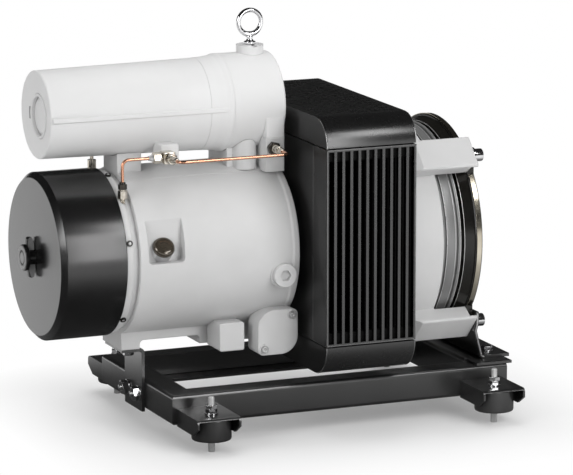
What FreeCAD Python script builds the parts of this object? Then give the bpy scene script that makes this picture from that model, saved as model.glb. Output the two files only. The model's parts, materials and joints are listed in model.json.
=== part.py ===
import FreeCAD, Part
import math
import os
import Sketcher
from types import SimpleNamespace

# Rotary vane compressor on a steel frame with four rubber feet.
# X runs along the shaft towards the motor flange, Y across, Z up.
# The origin is on the floor, in the middle of the four foot studs.

os.makedirs("parts", exist_ok=True)
doc = FreeCAD.newDocument("RotaryVaneCompressor")

# Driving dimensions in millimetres
SIZES = dict(
    shaft_height=330,
    running_gap=0.05,
    seat_gap=0.3,
    # feet
    foot_spacing_long=560,
    foot_spacing_wide=480,
    stud_radius=6,
    stud_upper_radius=5.4,
    stud_below=24,
    stud_above=16,
    buffer_height=41,
    buffer_radius=36.5,
    buffer_recess=2,
    buffer_recess_radius=7,
    foot_plate=4,
    foot_width=84,
    foot_shift=1,
    foot_reach=42,
    foot_skirt_deep=32,
    foot_skirt_shallow=17,
    foot_chamfer=24,
    foot_nut_height=10,
    foot_nut_flats=19,
    locknut_height=7,
    # frame
    rail_half_width=181,
    rail_height=55,
    rail_flange=45,
    rail_steel=5,
    rail_bend=7,
    rail_under=38,
    rail_left=332,
    cross_ledge=79,
    ledge_inset=1,
    # supports
    support_steel=6,
    support_bend=9,
    left_support_half=44,
    left_support_drop=4,
    left_support_reach=38,
    right_support_half_top=181,
    right_support_half_foot=148,
    right_support_rise=21,
    right_support_knee=16.8,
    right_support_lean=27,
    right_support_foot=58,
    support_bolt_radius=6,
    support_bolt_head=8,
    support_bolt_flats=18,
    support_washer_radius=11,
    support_bolt_spacing=56,
    support_bolt_stick=29,
    # casing
    casing_left=379,
    casing_length=308,
    casing_radius=152,
    casing_flare=2,
    casing_flare_length=14,
    casing_wall=14,
    casing_base_half=48,
    casing_base_under=25,
    casing_foot_length=36,
    casing_recess_length=117,
    casing_recess_height=16,
    casing_neck=13,
    casing_neck_radius=98,
    band_half_angle=24,
    band_height=1.5,
    pocket_left=16,
    pocket_length=69,
    pocket_low=0.5,
    pocket_height=83,
    pocket_floor=131,
    pocket_corner=8,
    sight_from_left=49,
    sight_above_shaft=21.5,
    sight_radius=20.5,
    sight_proud=12,
    sight_bore=15,
    filler_from_right=30.7,
    filler_below_shaft=39,
    filler_boss_radius=25,
    filler_boss_face=151,
    filler_radius=22,
    filler_head=10,
    filler_thread=14,
    filler_socket_flats=18,
    filler_socket_depth=7,
    box_boss_from_left=166,
    box_boss_length=48,
    box_boss_face=115,
    box_boss_low=180,
    box_boss_high=128,
    leaf_from_right=76,
    leaf_length=78,
    leaf_low=189,
    leaf_high=106,
    leaf_face=138,
    leaf_cover=10,
    leaf_inner=90,
    leaf_large_radius=33,
    leaf_small_radius=11,
    leaf_screw_inset=11.5,
    leaf_screw_radius=3,
    leaf_screw_head=5.5,
    pedestal_left_length=46,
    pedestal_left_half=35,
    pedestal_right_length=99,
    pedestal_right_half=45,
    pedestal_boss_radius=22,
    pedestal_boss_from_right=65,
    block_from_right=40,
    block_length=36,
    block_face=89,
    block_low=140,
    block_above_pipe=18,
    head_block_height=38,
    air_passage_radius=18,
    air_passage_from_right=56,
    # intake end
    rim_width=11,
    rim_radius=150,
    groove_width=13,
    groove_radius=143,
    spigot_length=6,
    intake_port_radius=38,
    intake_seat=7,
    intake_chamber_radius=70,
    intake_floor=10,
    intake_boss_radius=90,
    intake_boss_length=17,
    spider_width=10,
    spider_steel=8,
    spider_hub=13,
    transfer_radius=6,
    transfer_height=62,
    transfer_turn=32,
    valve_plate_radius=46,
    valve_plate_steel=6,
    valve_spring_radius=16,
    valve_spring_wire=2,
    guide_radius=8,
    cover_length=124,
    cover_radius=153,
    cover_steel=3,
    cover_edge=10,
    cartridge_radius=120,
    cartridge_bore=84,
    cartridge_length=108,
    cartridge_cap=6,
    filter_stud_radius=5,
    filter_stud_grip=22,
    spring_facets=12,
    knob_hub_radius=11,
    knob_hub_length=26,
    knob_disc_radius=24,
    knob_disc=7,
    knob_wing_reach=37,
    knob_wing_width=13,
    knob_wing=14,
    knob_wing_gap=1.8,
    cover_screw_count=6,
    cover_screw_turn=15.8,
    cover_screw_head_radius=5,
    cover_screw_head=6,
    cover_screw_proud=3,
    control_fitting_across=56,
    control_fitting_radius=8,
    control_fitting_body=18,
    control_pin_radius=2,
    control_pin=9,
    # pump
    stator_radius=90,
    stator_bore=68,
    stator_offset=7.6,
    stator_length=180,
    end_plate=22,
    rotor_radius=60,
    rotor_end_gap=0.5,
    journal_radius=25,
    bush_wall=7,
    vane_count=7,
    vane_width=8,
    vane_depth=28,
    vane_side_gap=0.05,
    delivery_radius=4,
    delivery_count=5,
    boss_tube_bore=70,
    seal_radius=40,
    # separator
    separator_above_shaft=259,
    separator_left=520.6,
    separator_radius_left=79.8,
    separator_radius_right=85,
    separator_head_radius=89.5,
    separator_head_length=102,
    separator_wall=8,
    separator_end_wall=20,
    separator_rib=9,
    separator_rib_proud=2,
    plug_recess_radius=41,
    plug_recess_depth=6,
    plug_radius=35,
    plug_across=16,
    plug_sunk=3,
    plug_notch=6,
    plug_notch_reach=21,
    separator_cartridge_radius=58,
    separator_cartridge_bore=42,
    separator_cartridge_length=300,
    separator_cartridge_flange=5,
    separator_cartridge_flange_radius=64,
    outlet_boss_radius=34,
    outlet_boss_face=132,
    outlet_from_right=52,
    outlet_thread_radius=24,
    outlet_thread=18,
    outlet_chamber_radius=26,
    outlet_seat_radius=16,
    outlet_seat=14,
    outlet_seat_sunk=4,
    poppet_radius=22,
    poppet_steel=6,
    poppet_boss_radius=8,
    poppet_boss=5,
    poppet_spring_radius=14,
    poppet_spring_wire=2,
    poppet_bridge=5,
    eyebolt_from_right=35,
    eye_boss_radius=25,
    eye_boss_height=14,
    eye_boss_notch=7,
    eye_boss_notch_deep=2.5,
    eye_collar_radius=11,
    eye_collar=6,
    eye_neck_radius=8.8,
    eye_shank_radius=8,
    eye_shank=22,
    eye_height=40.5,
    eye_radius=22.25,
    eye_wire=4.25,
    # pipework
    pipe_radius=3,
    pipe_wall=1,
    pipe_bend=12,
    pipe_across=101,
    pipe_run_above_shaft=184,
    elbow_flats=15,
    elbow_height=17,
    elbow_nut_flats=14,
    elbow_nut=14,
    elbow_low=111,
    fitting_shank_radius=5,
    control_shank=12,
    pipe_nut_flats=18,
    pipe_nut=20,
    pipe_collar_radius=5.5,
    pipe_collar=5,
    tee_size=22,
    tee_from_left=71,
    tee_boss_length=34,
    tee_boss_height=30,
    tee_boss_under=9,
    tee_face=93,
    tee_nut=17.5,
    tee_sleeve=17.5,
    tee_sleeve_radius=6.5,
    outlet_pipe_from_right=26,
    outlet_nut_flats=21,
    outlet_nut=10,
    outlet_body=36,
    outlet_body_radius=7,
    pipe_front=162,
    # cooler
    cooler_length=175.5,
    cooler_half_width=245,
    cooler_steel=2.5,
    cooler_top_seam=202,
    cooler_top=255.6,
    cooler_bottom_seam=158,
    cooler_bottom=216,
    cooler_top_radius=50,
    cooler_bottom_radius=54,
    cooler_frame_depth=64,
    cooler_side_steel=4,
    grille_slots=11,
    grille_pitch=15.7,
    grille_slot=10.6,
    grille_margin=4,
    core_depth=33,
    core_from_front=7,
    core_tank=24,
    core_tubes=12,
    core_tube=4,
    shaft_port_radius=44,
    fan_inlet_radius=130,
    fan_radius=150,
    fan_inner_radius=95,
    fan_width=86,
    fan_from_left=68,
    fan_steel=4,
    fan_blades=12,
    fan_blade=4,
    fan_blade_sweep=18,
    fan_hub_round=8,
    fan_hub_radius=40,
    fan_hub_length=60,
    # drive end
    bell_length=76.5,
    bell_radius=204,
    bell_wall=12,
    bell_end_wall=10,
    finger_radius=235,
    finger_base_drop=19,
    finger_slope_start=12,
    finger_slope_end=42,
    finger_half_outer=34,
    finger_half_inner=26,
    finger_lip=6,
    stepped_ring_length=38,
    stepped_ring_radius=196,
    stepped_ring_land=190,
    stepped_ring_bore=178,
    stepped_ring_groove=5,
    flange_hub_length=24,
    flange_hub_radius=203,
    flange_step_radius=188,
    flange_step=7,
    flange_plate=14,
    flange_plate_radius=208,
    lug_radius=229,
    lug_half=22,
    lug_fillet=14,
    lug_sunk=10,
    lug_round=6,
    flange_screw_circle=219.5,
    flange_screw_radius=8,
    flange_screw_depth=30,
    washer=4,
    washer_radius=15,
    flange_screw_head_radius=12,
    flange_screw_head=16,
    flange_screw_socket_flats=14,
    pilot_radius=125,
    motor_land_radius=175,
    motor_land=1,
    motor_bolt_circle=150,
    motor_bolt_radius=7,
    motor_clearance_radius=178,
    coupling_radius=55,
    coupling_length=60,
    coupling_sunk=16,
    coupling_shaft_grip=10,
    motor_shaft_radius=24,
    shaft_clearance=1,
)

sheet = doc.addObject("Spreadsheet::Sheet", "Sizes")
for row, (alias, number) in enumerate(SIZES.items(), start=1):
    sheet.set(f"A{row}", alias)
    sheet.set(f"B{row}", str(number))
    sheet.setAlias(f"B{row}", alias)
doc.recompute()


class Size:
    """A length with its number and the expression that gives it from the sheet."""

    def __init__(self, value, text):
        self.value = float(value)
        self.text = text

    def __add__(self, other):
        other = size_of(other)
        return Size(self.value + other.value, f"({self.text} + {other.text})")

    def __radd__(self, other):
        return size_of(other) + self

    def __sub__(self, other):
        other = size_of(other)
        return Size(self.value - other.value, f"({self.text} - {other.text})")

    def __rsub__(self, other):
        return size_of(other) - self

    def __mul__(self, other):
        other = size_of(other)
        return Size(self.value * other.value, f"({self.text} * {other.text})")

    def __rmul__(self, other):
        return size_of(other) * self

    def __truediv__(self, other):
        other = size_of(other)
        return Size(self.value / other.value, f"({self.text} / {other.text})")

    def __neg__(self):
        return Size(-self.value, f"(0 - {self.text})")


def size_of(number):
    if isinstance(number, Size):
        return number
    return Size(number, f"({float(number):.9g})")


def root(size):
    return Size(math.sqrt(size.value), f"sqrt({size.text})")


d = SimpleNamespace(**{alias: Size(number, f"Sizes.{alias}") for alias, number in SIZES.items()})

# Places that follow from the driving dimensions

casing_right = d.casing_length - d.casing_left
rim_right = -d.casing_left - d.groove_width
rim_left = rim_right - d.rim_width
port_left = rim_left - d.spigot_length
cover_face = rim_left - d.cover_length
stator_left = -d.casing_left + d.intake_boss_length + d.end_plate
stator_right = stator_left + d.stator_length
end_plates_right = stator_right + d.end_plate
wall_inside = casing_right - d.casing_wall
intake_floor_left = -d.casing_left + d.intake_boss_length - d.intake_floor
valve_seat = port_left + d.intake_seat + d.spigot_length

separator_height = d.shaft_height + d.separator_above_shaft
separator_left = -d.separator_left
head_left = casing_right - d.separator_head_length

cooler_left = casing_right + d.casing_neck
cooler_right = cooler_left + d.cooler_length
bell_right = cooler_right + d.bell_length
flange_left = bell_right + d.stepped_ring_length
flange_plate_left = flange_left + d.flange_hub_length
flange_face = flange_plate_left + d.flange_plate
fan_left = cooler_left + d.fan_from_left
coupling_right = flange_plate_left - d.coupling_sunk
shaft_end = coupling_right - d.coupling_length + d.coupling_shaft_grip

buffer_top = d.stud_below + d.buffer_height
foot_top = buffer_top + d.foot_plate
stud_top = foot_top + d.foot_nut_height + d.locknut_height + d.stud_above
rail_top = d.rail_under + d.rail_height
rail_left = -d.rail_left
ledge_top = rail_top + d.rail_steel
cross_web = flange_face - 2 * d.rail_steel + d.support_steel
rail_right = cross_web + d.cross_ledge - 2 * d.rail_steel
casing_foot_under = d.shaft_height - d.casing_radius - d.casing_base_under

HALF = math.sqrt(0.5)

# Building blocks

kept = []
TURN = {
    "x": FreeCAD.Rotation(),
    "+x": FreeCAD.Rotation(),
    "-x": FreeCAD.Rotation(FreeCAD.Vector(0, 0, 1), 180),
    "+y": FreeCAD.Rotation(FreeCAD.Vector(0, 0, 1), 90),
    "-y": FreeCAD.Rotation(FreeCAD.Vector(0, 0, 1), -90),
    "+z": FreeCAD.Rotation(FreeCAD.Vector(0, 1, 0), -90),
    "-z": FreeCAD.Rotation(FreeCAD.Vector(0, 1, 0), 90),
}
STAND = {
    "+x": FreeCAD.Rotation(FreeCAD.Vector(0, 1, 0), 90),
    "-x": FreeCAD.Rotation(FreeCAD.Vector(0, 1, 0), -90),
    "+y": FreeCAD.Rotation(FreeCAD.Vector(1, 0, 0), -90),
    "-y": FreeCAD.Rotation(FreeCAD.Vector(1, 0, 0), 90),
    "+z": FreeCAD.Rotation(),
    "-z": FreeCAD.Rotation(FreeCAD.Vector(1, 0, 0), 180),
}


def bind(thing, path, size):
    thing.setExpression(path, size_of(size).text)


def place(thing, at, rotation=FreeCAD.Rotation()):
    thing.Placement = FreeCAD.Placement(FreeCAD.Vector(0, 0, 0), rotation)
    for letter, size in zip("xyz", at):
        bind(thing, f"Placement.Base.{letter}", size)
    return thing


def keep(thing, label):
    thing.Label = label
    kept.append(thing)
    return thing


def cylinder(direction, radius, length, at):
    rod = doc.addObject("Part::Cylinder", "Rod")
    bind(rod, "Radius", radius)
    bind(rod, "Height", length)
    return place(rod, at, STAND[direction])


def cone(direction, radius, end_radius, length, at):
    taper = doc.addObject("Part::Cone", "Taper")
    bind(taper, "Radius1", radius)
    bind(taper, "Radius2", end_radius)
    bind(taper, "Height", length)
    return place(taper, at, STAND[direction])


def hexagon(direction, flats, length, at):
    prism = doc.addObject("Part::Prism", "Hexagon")
    prism.Polygon = 6
    bind(prism, "Circumradius", flats / math.sqrt(3))
    bind(prism, "Height", length)
    return place(prism, at, STAND[direction])


def box(low, high):
    block = doc.addObject("Part::Box", "Block")
    for name, start, end in zip(("Length", "Width", "Height"), low, high):
        bind(block, name, size_of(end) - start)
    return place(block, low)


def cut(base, *tools):
    for tool in tools:
        result = doc.addObject("Part::Cut", "Cut")
        result.Base = base
        result.Tool = tool
        base = result
    return base


def fuse(*pieces):
    result = doc.addObject("Part::MultiFuse", "Fuse")
    result.Shapes = list(pieces)
    return result


def group(label, pieces):
    bundle = doc.addObject("Part::Compound", "Group")
    bundle.Links = list(pieces)
    return keep(bundle, label)


def body(label, at=(0, 0, 0), rotation=FreeCAD.Rotation()):
    part = doc.addObject("PartDesign::Body", "Body")
    place(part, at, rotation)
    return keep(part, label)


def origin_plane(part, role):
    return next(plane for plane in part.Origin.OriginFeatures if plane.Role == role)


def dimension(sketch, kind, geometry, point, size):
    size = size_of(size)
    number = sketch.addConstraint(Sketcher.Constraint(kind, -1, 1, geometry, point, size.value))
    sketch.setExpression(f"Constraints[{number}]", size.text)


def draw_circle(sketch, x, y, radius):
    x, y, radius = size_of(x), size_of(y), size_of(radius)
    circle = Part.Circle(FreeCAD.Vector(x.value, y.value, 0), FreeCAD.Vector(0, 0, 1), radius.value)
    number = sketch.addGeometry(circle, False)
    dimension(sketch, "DistanceX", number, 3, x)
    dimension(sketch, "DistanceY", number, 3, y)
    radius_number = sketch.addConstraint(Sketcher.Constraint("Radius", number, radius.value))
    sketch.setExpression(f"Constraints[{radius_number}]", radius.text)


def corner_points(before, corner, after, radius):
    """Where a round of this radius leaves both lines of a corner, and its centre."""
    to_before = (before - corner).normalize()
    to_after = (after - corner).normalize()
    half = to_before.getAngle(to_after) / 2
    reach = radius / math.tan(half)
    middle = (to_before + to_after).normalize()
    centre = corner + middle * (radius / math.sin(half))
    return corner + to_before * reach, corner + to_after * reach, centre


def draw_line(sketch, points, closed=True):
    """Straight runs through the points; a point with a third value has a round of that radius."""
    points = [tuple(size_of(value) for value in point) for point in points]
    spots = [FreeCAD.Vector(point[0].value, point[1].value, 0) for point in points]
    count = len(points)
    leave = list(spots)
    reach = list(spots)
    rounds = {}
    for number, point in enumerate(points):
        if len(point) == 3:
            before, after = spots[number - 1], spots[(number + 1) % count]
            start, end, centre = corner_points(before, spots[number], after, point[2].value)
            reach[number], leave[number] = start, end
            rounds[number] = centre
    last = count if closed else count - 1
    lines = {}
    for number in range(last):
        line = Part.LineSegment(leave[number], reach[(number + 1) % count])
        lines[number] = sketch.addGeometry(line, False)
    for number, point in enumerate(points):
        before = (number - 1) % count
        if number not in rounds:
            if number in lines:
                end = (lines[number], 1)
            else:
                end = (lines[before], 2)
            if before in lines and number in lines:
                sketch.addConstraint(Sketcher.Constraint("Coincident", lines[before], 2, *end))
            dimension(sketch, "DistanceX", *end, point[0])
            dimension(sketch, "DistanceY", *end, point[1])
            continue
        centre = rounds[number]
        first = math.atan2(reach[number].y - centre.y, reach[number].x - centre.x)
        second = math.atan2(leave[number].y - centre.y, leave[number].x - centre.x)
        forward = (second - first) % (2 * math.pi) < math.pi
        angles = (first, second) if forward else (second, first)
        circle = Part.Circle(centre, FreeCAD.Vector(0, 0, 1), point[2].value)
        arc = sketch.addGeometry(Part.ArcOfCircle(circle, *angles), False)
        start, end = (1, 2) if forward else (2, 1)
        sketch.addConstraint(Sketcher.Constraint("Tangent", lines[before], 2, arc, start))
        sketch.addConstraint(Sketcher.Constraint("Tangent", lines[number], 1, arc, end))
        radius_number = sketch.addConstraint(Sketcher.Constraint("Radius", arc, point[2].value))
        sketch.setExpression(f"Constraints[{radius_number}]", point[2].text)
        corner = sketch.addGeometry(Part.Point(spots[number]), True)
        sketch.addConstraint(Sketcher.Constraint("PointOnObject", corner, 1, lines[before]))
        sketch.addConstraint(Sketcher.Constraint("PointOnObject", corner, 1, lines[number]))
        dimension(sketch, "DistanceX", corner, 1, point[0])
        dimension(sketch, "DistanceY", corner, 1, point[1])


def sketch_on(part, role, offset, outlines, closed=True):
    """A sketch on an origin plane: each outline is a list of points or a circle (x, y, radius)."""
    sketch = part.newObject("Sketcher::SketchObject", "Outline")
    sketch.AttachmentSupport = [(origin_plane(part, role), "")]
    sketch.MapMode = "FlatFace"
    bind(sketch, "AttachmentOffset.Base.z", offset)
    for outline in outlines:
        if isinstance(outline, tuple):
            draw_circle(sketch, *outline)
        else:
            draw_line(sketch, outline, closed)
    return sketch


def pad(part, role, offset, length, *outlines):
    feature = part.newObject("PartDesign::Pad", "Pad")
    feature.Profile = sketch_on(part, role, offset, outlines)
    bind(feature, "Length", length)
    return feature


def pocket(part, role, offset, length, *outlines):
    feature = part.newObject("PartDesign::Pocket", "Pocket")
    feature.Profile = sketch_on(part, role, offset, outlines)
    feature.Reversed = True
    bind(feature, "Length", length)
    return feature


def revolve(part, *outlines, kind="PartDesign::Revolution"):
    sketch = sketch_on(part, "XZ_Plane", 0, outlines)
    feature = part.newObject(kind, "Turned")
    feature.Profile = sketch
    feature.ReferenceAxis = (sketch, ["H_Axis"])
    feature.Angle = 360
    return feature


def groove(part, *outlines):
    return revolve(part, *outlines, kind="PartDesign::Groove")


def turned(label, *outlines, direction="+x", at=None):
    """A body turned about its own X line, then laid along a direction. Its points are (along, radius)."""
    if at is None:
        at = (0, 0, d.shaft_height)
    part = body(label, at, TURN[direction])
    revolve(part, *outlines)
    return part


def around(part, feature, count, axis="X_Axis"):
    pattern = part.newObject("PartDesign::PolarPattern", "Around")
    pattern.Originals = [feature]
    pattern.Axis = (origin_plane(part, axis), [""])
    pattern.Angle = 360
    bind(pattern, "Occurrences", count)
    part.Tip = pattern
    return pattern


def row(part, feature, count, pitch, axis="X_Axis"):
    pattern = part.newObject("PartDesign::LinearPattern", "Row")
    pattern.Originals = [feature]
    pattern.Direction = (origin_plane(part, axis), [""])
    bind(pattern, "Occurrences", count)
    bind(pattern, "Length", pitch * (count - 1))
    part.Tip = pattern
    return pattern


def rectangle(left, low, right, high, radius=None):
    corners = [(left, low), (right, low), (right, high), (left, high)]
    if radius is None:
        return corners
    return [corner + (radius,) for corner in corners]


def ring(label, start, end, outer, inner, direction="+x", at=None):
    return turned(label, rectangle(start, inner, end, outer), direction=direction, at=at)


# Frame: two channel rails, mitred to the left cross member, and a right cross member with a ledge

def channel(label, rotation, length_low, length_high):
    """A channel along X with its web on the low Y side of its own frame."""
    part = body(label, (0, 0, 0), rotation)
    outer = -d.rail_half_width
    inner = outer + d.rail_flange
    low, high = d.rail_under, rail_top
    bend = d.rail_bend
    inside = d.rail_bend - d.rail_steel
    pad(part, "YZ_Plane", length_low, length_high - length_low, [
        (outer, low, bend),
        (inner, low),
        (inner, low + d.rail_steel),
        (outer + d.rail_steel, low + d.rail_steel, inside),
        (outer + d.rail_steel, high - d.rail_steel, inside),
        (inner, high - d.rail_steel),
        (inner, high),
        (outer, high, bend)])
    return part


def mitre(part, corner_x, side):
    """Cuts the end of a channel at 45 degrees from its outer corner inwards."""
    over = d.rail_steel
    outer = -d.rail_half_width
    deep = d.rail_flange + over
    pocket(part, "XY_Plane", 0, rail_top + over, [
        (corner_x - side * over, outer - over),
        (corner_x - side * over, outer + deep),
        (corner_x + side * deep, outer + deep)])


near_rail = channel("rail_near", FreeCAD.Rotation(), rail_left, rail_right)
mitre(near_rail, rail_left, 1)
far_rail = channel("rail_far", TURN["-x"], -rail_right, -rail_left)
mitre(far_rail, -rail_left, -1)

left_member = body("cross_member_left", (0, 0, 0), TURN["-y"])
pad(left_member, "YZ_Plane", -d.rail_half_width, 2 * d.rail_half_width, [
    (rail_left, d.rail_under, d.rail_bend),
    (rail_left + d.rail_flange, d.rail_under),
    (rail_left + d.rail_flange, d.rail_under + d.rail_steel),
    (rail_left + d.rail_steel, d.rail_under + d.rail_steel, d.rail_bend - d.rail_steel),
    (rail_left + d.rail_steel, rail_top - d.rail_steel, d.rail_bend - d.rail_steel),
    (rail_left + d.rail_flange, rail_top - d.rail_steel),
    (rail_left + d.rail_flange, rail_top),
    (rail_left, rail_top, d.rail_bend)])
for side in (1, -1):
    end = side * d.rail_half_width
    past = side * d.rail_steel
    pocket(left_member, "XY_Plane", 0, rail_top + d.rail_steel, [
        (end + past, rail_left - d.rail_steel),
        (end - side * d.rail_flange - past, rail_left + d.rail_flange + d.rail_steel),
        (end + past, rail_left + d.rail_flange + d.rail_steel)])

right_member = body("cross_member_right")
member_half = d.rail_half_width - d.rail_flange
web_right = cross_web + d.rail_steel
member_low = ledge_top - d.rail_height - d.rail_steel
member_bend = d.rail_bend - d.rail_steel
pad(right_member, "XZ_Plane", -member_half, 2 * member_half, [
    (cross_web, member_low, d.rail_bend),
    (cross_web + d.rail_flange, member_low),
    (cross_web + d.rail_flange, member_low + d.rail_steel),
    (web_right, member_low + d.rail_steel, member_bend),
    (web_right, rail_top, member_bend),
    (cross_web + d.cross_ledge, rail_top),
    (cross_web + d.cross_ledge, ledge_top),
    (cross_web, ledge_top, d.rail_bend)])
ledge_half = d.rail_half_width - d.ledge_inset
pad(right_member, "XY_Plane", rail_top, d.rail_steel,
    rectangle(cross_web + d.rail_bend, -ledge_half, cross_web + d.cross_ledge, ledge_half))

# Feet: a folded bracket welded to each rail corner, a rubber buffer under it, a stud and two nuts

foot_plate_low = foot_top - d.foot_plate
for label, side_x, side_y in (("foot_bracket_near_left", -1, -1), ("foot_bracket_near_right", 1, -1),
                              ("foot_bracket_far_left", -1, 1), ("foot_bracket_far_right", 1, 1)):
    turn = FreeCAD.Rotation() if side_y < 0 else TURN["-x"]
    centre_x = side_x * (d.foot_spacing_long / 2 + d.foot_shift)
    bracket = body(label, (centre_x, 0, 0), turn)
    outer_y = -(d.foot_spacing_wide / 2 + d.foot_reach)
    inner_y = -d.rail_half_width
    pad(bracket, "YZ_Plane", -d.foot_width / 2, d.foot_width, [
        (outer_y, foot_top, d.foot_plate * 2),
        (outer_y, foot_top - d.foot_skirt_shallow),
        (outer_y + d.foot_chamfer, foot_top - d.foot_skirt_deep),
        (inner_y, foot_top - d.foot_skirt_deep),
        (inner_y, foot_top)])
    inside_half = d.foot_width / 2 - d.foot_plate
    reach_out = d.foot_plate
    pocket(bracket, "XY_Plane", foot_top - d.foot_skirt_deep - reach_out,
           d.foot_skirt_deep + reach_out - d.foot_plate,
           rectangle(-inside_half, outer_y - reach_out, inside_half, inner_y + reach_out))
    hole_x = -side_x * d.foot_shift if side_y < 0 else side_x * d.foot_shift
    pocket(bracket, "XY_Plane", foot_plate_low - reach_out, 2 * d.foot_plate + reach_out,
           (hole_x, -d.foot_spacing_wide / 2, d.stud_radius + d.seat_gap))

buffers = []
foot_fasteners = []
nut_bore = d.stud_upper_radius + d.running_gap
for side_x in (-1, 1):
    for side_y in (-1, 1):
        x = side_x * d.foot_spacing_long / 2
        y = side_y * d.foot_spacing_wide / 2
        rubber = cylinder("+z", d.buffer_radius, d.buffer_height, (x, y, d.stud_below))
        stud_hole = cylinder("+z", nut_bore, d.buffer_height * 2, (x, y, 0))
        recess = cylinder("+z", d.buffer_recess_radius, d.buffer_recess, (x, y, d.stud_below))
        buffers.append(cut(cut(rubber, stud_hole), recess))
        lower_stud = cylinder("+z", d.stud_radius, d.stud_below, (x, y, 0))
        upper_stud = cylinder("+z", d.stud_upper_radius, stud_top - d.stud_below, (x, y, d.stud_below))
        foot_fasteners.append(fuse(lower_stud, upper_stud))
        level = foot_top
        for height in (d.foot_nut_height, d.locknut_height):
            nut = hexagon("+z", d.foot_nut_flats, height, (x, y, level))
            thread = cylinder("+z", nut_bore, height * 3, (x, y, level - height))
            foot_fasteners.append(cut(nut, thread))
            level = level + height
group("rubber_buffers", buffers)
group("foot_fasteners", foot_fasteners)

# Supports: an angle under the casing foot and a leaning plate under the motor flange

left_support = body("left_support")
left_support_left = rail_left - d.support_steel - d.left_support_reach
left_support_low = d.rail_under - d.left_support_drop
pad(left_support, "XZ_Plane", -d.left_support_half, 2 * d.left_support_half, [
    (left_support_left, casing_foot_under - d.support_steel),
    (left_support_left, casing_foot_under),
    (rail_left, casing_foot_under, d.support_bend),
    (rail_left, left_support_low),
    (rail_left - d.support_steel, left_support_low),
    (rail_left - d.support_steel, casing_foot_under - d.support_steel, d.support_bend - d.support_steel)])
seat_bolt_x = left_support_left + d.left_support_reach / 2 - 1
seat_bolt_y = d.support_bolt_spacing / 2
bolt_hole = d.support_bolt_radius + d.seat_gap
pocket(left_support, "XY_Plane", casing_foot_under - 2 * d.support_steel, 3 * d.support_steel,
       (seat_bolt_x, -seat_bolt_y, bolt_hole), (seat_bolt_x, seat_bolt_y, bolt_hole))
web_bolt_z = d.rail_under + d.rail_height / 2
pocket(left_support, "YZ_Plane", rail_left - 2 * d.support_steel, 3 * d.support_steel,
       (-seat_bolt_y, web_bolt_z, bolt_hole), (seat_bolt_y, web_bolt_z, bolt_hole))
pocket(left_member, "XZ_Plane", -rail_left - 2 * d.rail_steel, 3 * d.rail_steel,
       (seat_bolt_y, web_bolt_z, bolt_hole), (-seat_bolt_y, web_bolt_z, bolt_hole))

right_support = body("right_support")
lug_line = d.flange_screw_circle * HALF
support_left = flange_face
support_right = support_left + d.support_steel
support_top = d.shaft_height - lug_line + d.right_support_rise
knee = d.shaft_height - lug_line - d.right_support_knee
lean_rise = knee - ledge_top - d.support_steel
lean_steel = d.support_steel * root(d.right_support_lean * d.right_support_lean
                                    + lean_rise * lean_rise) / lean_rise
foot_left = support_left + d.right_support_lean
pad(right_support, "XZ_Plane", -d.right_support_half_top, 2 * d.right_support_half_top, [
    (support_left, support_top),
    (support_left, knee),
    (foot_left, ledge_top, d.support_bend),
    (foot_left + d.right_support_foot, ledge_top),
    (foot_left + d.right_support_foot, ledge_top + d.support_steel),
    (foot_left + lean_steel - d.right_support_lean / 9, ledge_top + d.support_steel,
     d.support_bend - d.support_steel),
    (support_right, knee),
    (support_right, support_top)])
for side in (-1, 1):
    inner = side * d.right_support_half_foot
    outer = side * d.right_support_half_top
    past = side * d.support_steel
    pocket(right_support, "YZ_Plane", support_left - d.support_steel, d.right_support_foot * 2, [
        (inner, ledge_top - d.support_steel),
        (inner, ledge_top + d.support_steel),
        (outer, d.shaft_height - lug_line),
        (outer + past, d.shaft_height - lug_line),
        (outer + past, ledge_top - d.support_steel)])
pocket(right_support, "YZ_Plane", support_left - d.support_steel, d.right_support_foot * 2,
       (0, d.shaft_height, d.motor_clearance_radius))
pocket(right_support, "YZ_Plane", support_left - d.support_steel, 3 * d.support_steel,
       (-lug_line, d.shaft_height - lug_line, d.flange_screw_radius + d.seat_gap),
       (lug_line, d.shaft_height - lug_line, d.flange_screw_radius + d.seat_gap))
ledge_bolt_x = foot_left + d.right_support_foot / 2
ledge_bolt_y = d.right_support_half_foot - 2 * d.support_bolt_flats
pocket(right_support, "XY_Plane", ledge_top - d.support_steel, 3 * d.support_steel,
       (ledge_bolt_x, -ledge_bolt_y, bolt_hole), (ledge_bolt_x, ledge_bolt_y, bolt_hole))
pocket(right_member, "XY_Plane", rail_top - d.rail_steel, 3 * d.rail_steel,
       (ledge_bolt_x, -ledge_bolt_y, bolt_hole), (ledge_bolt_x, ledge_bolt_y, bolt_hole))

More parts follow.
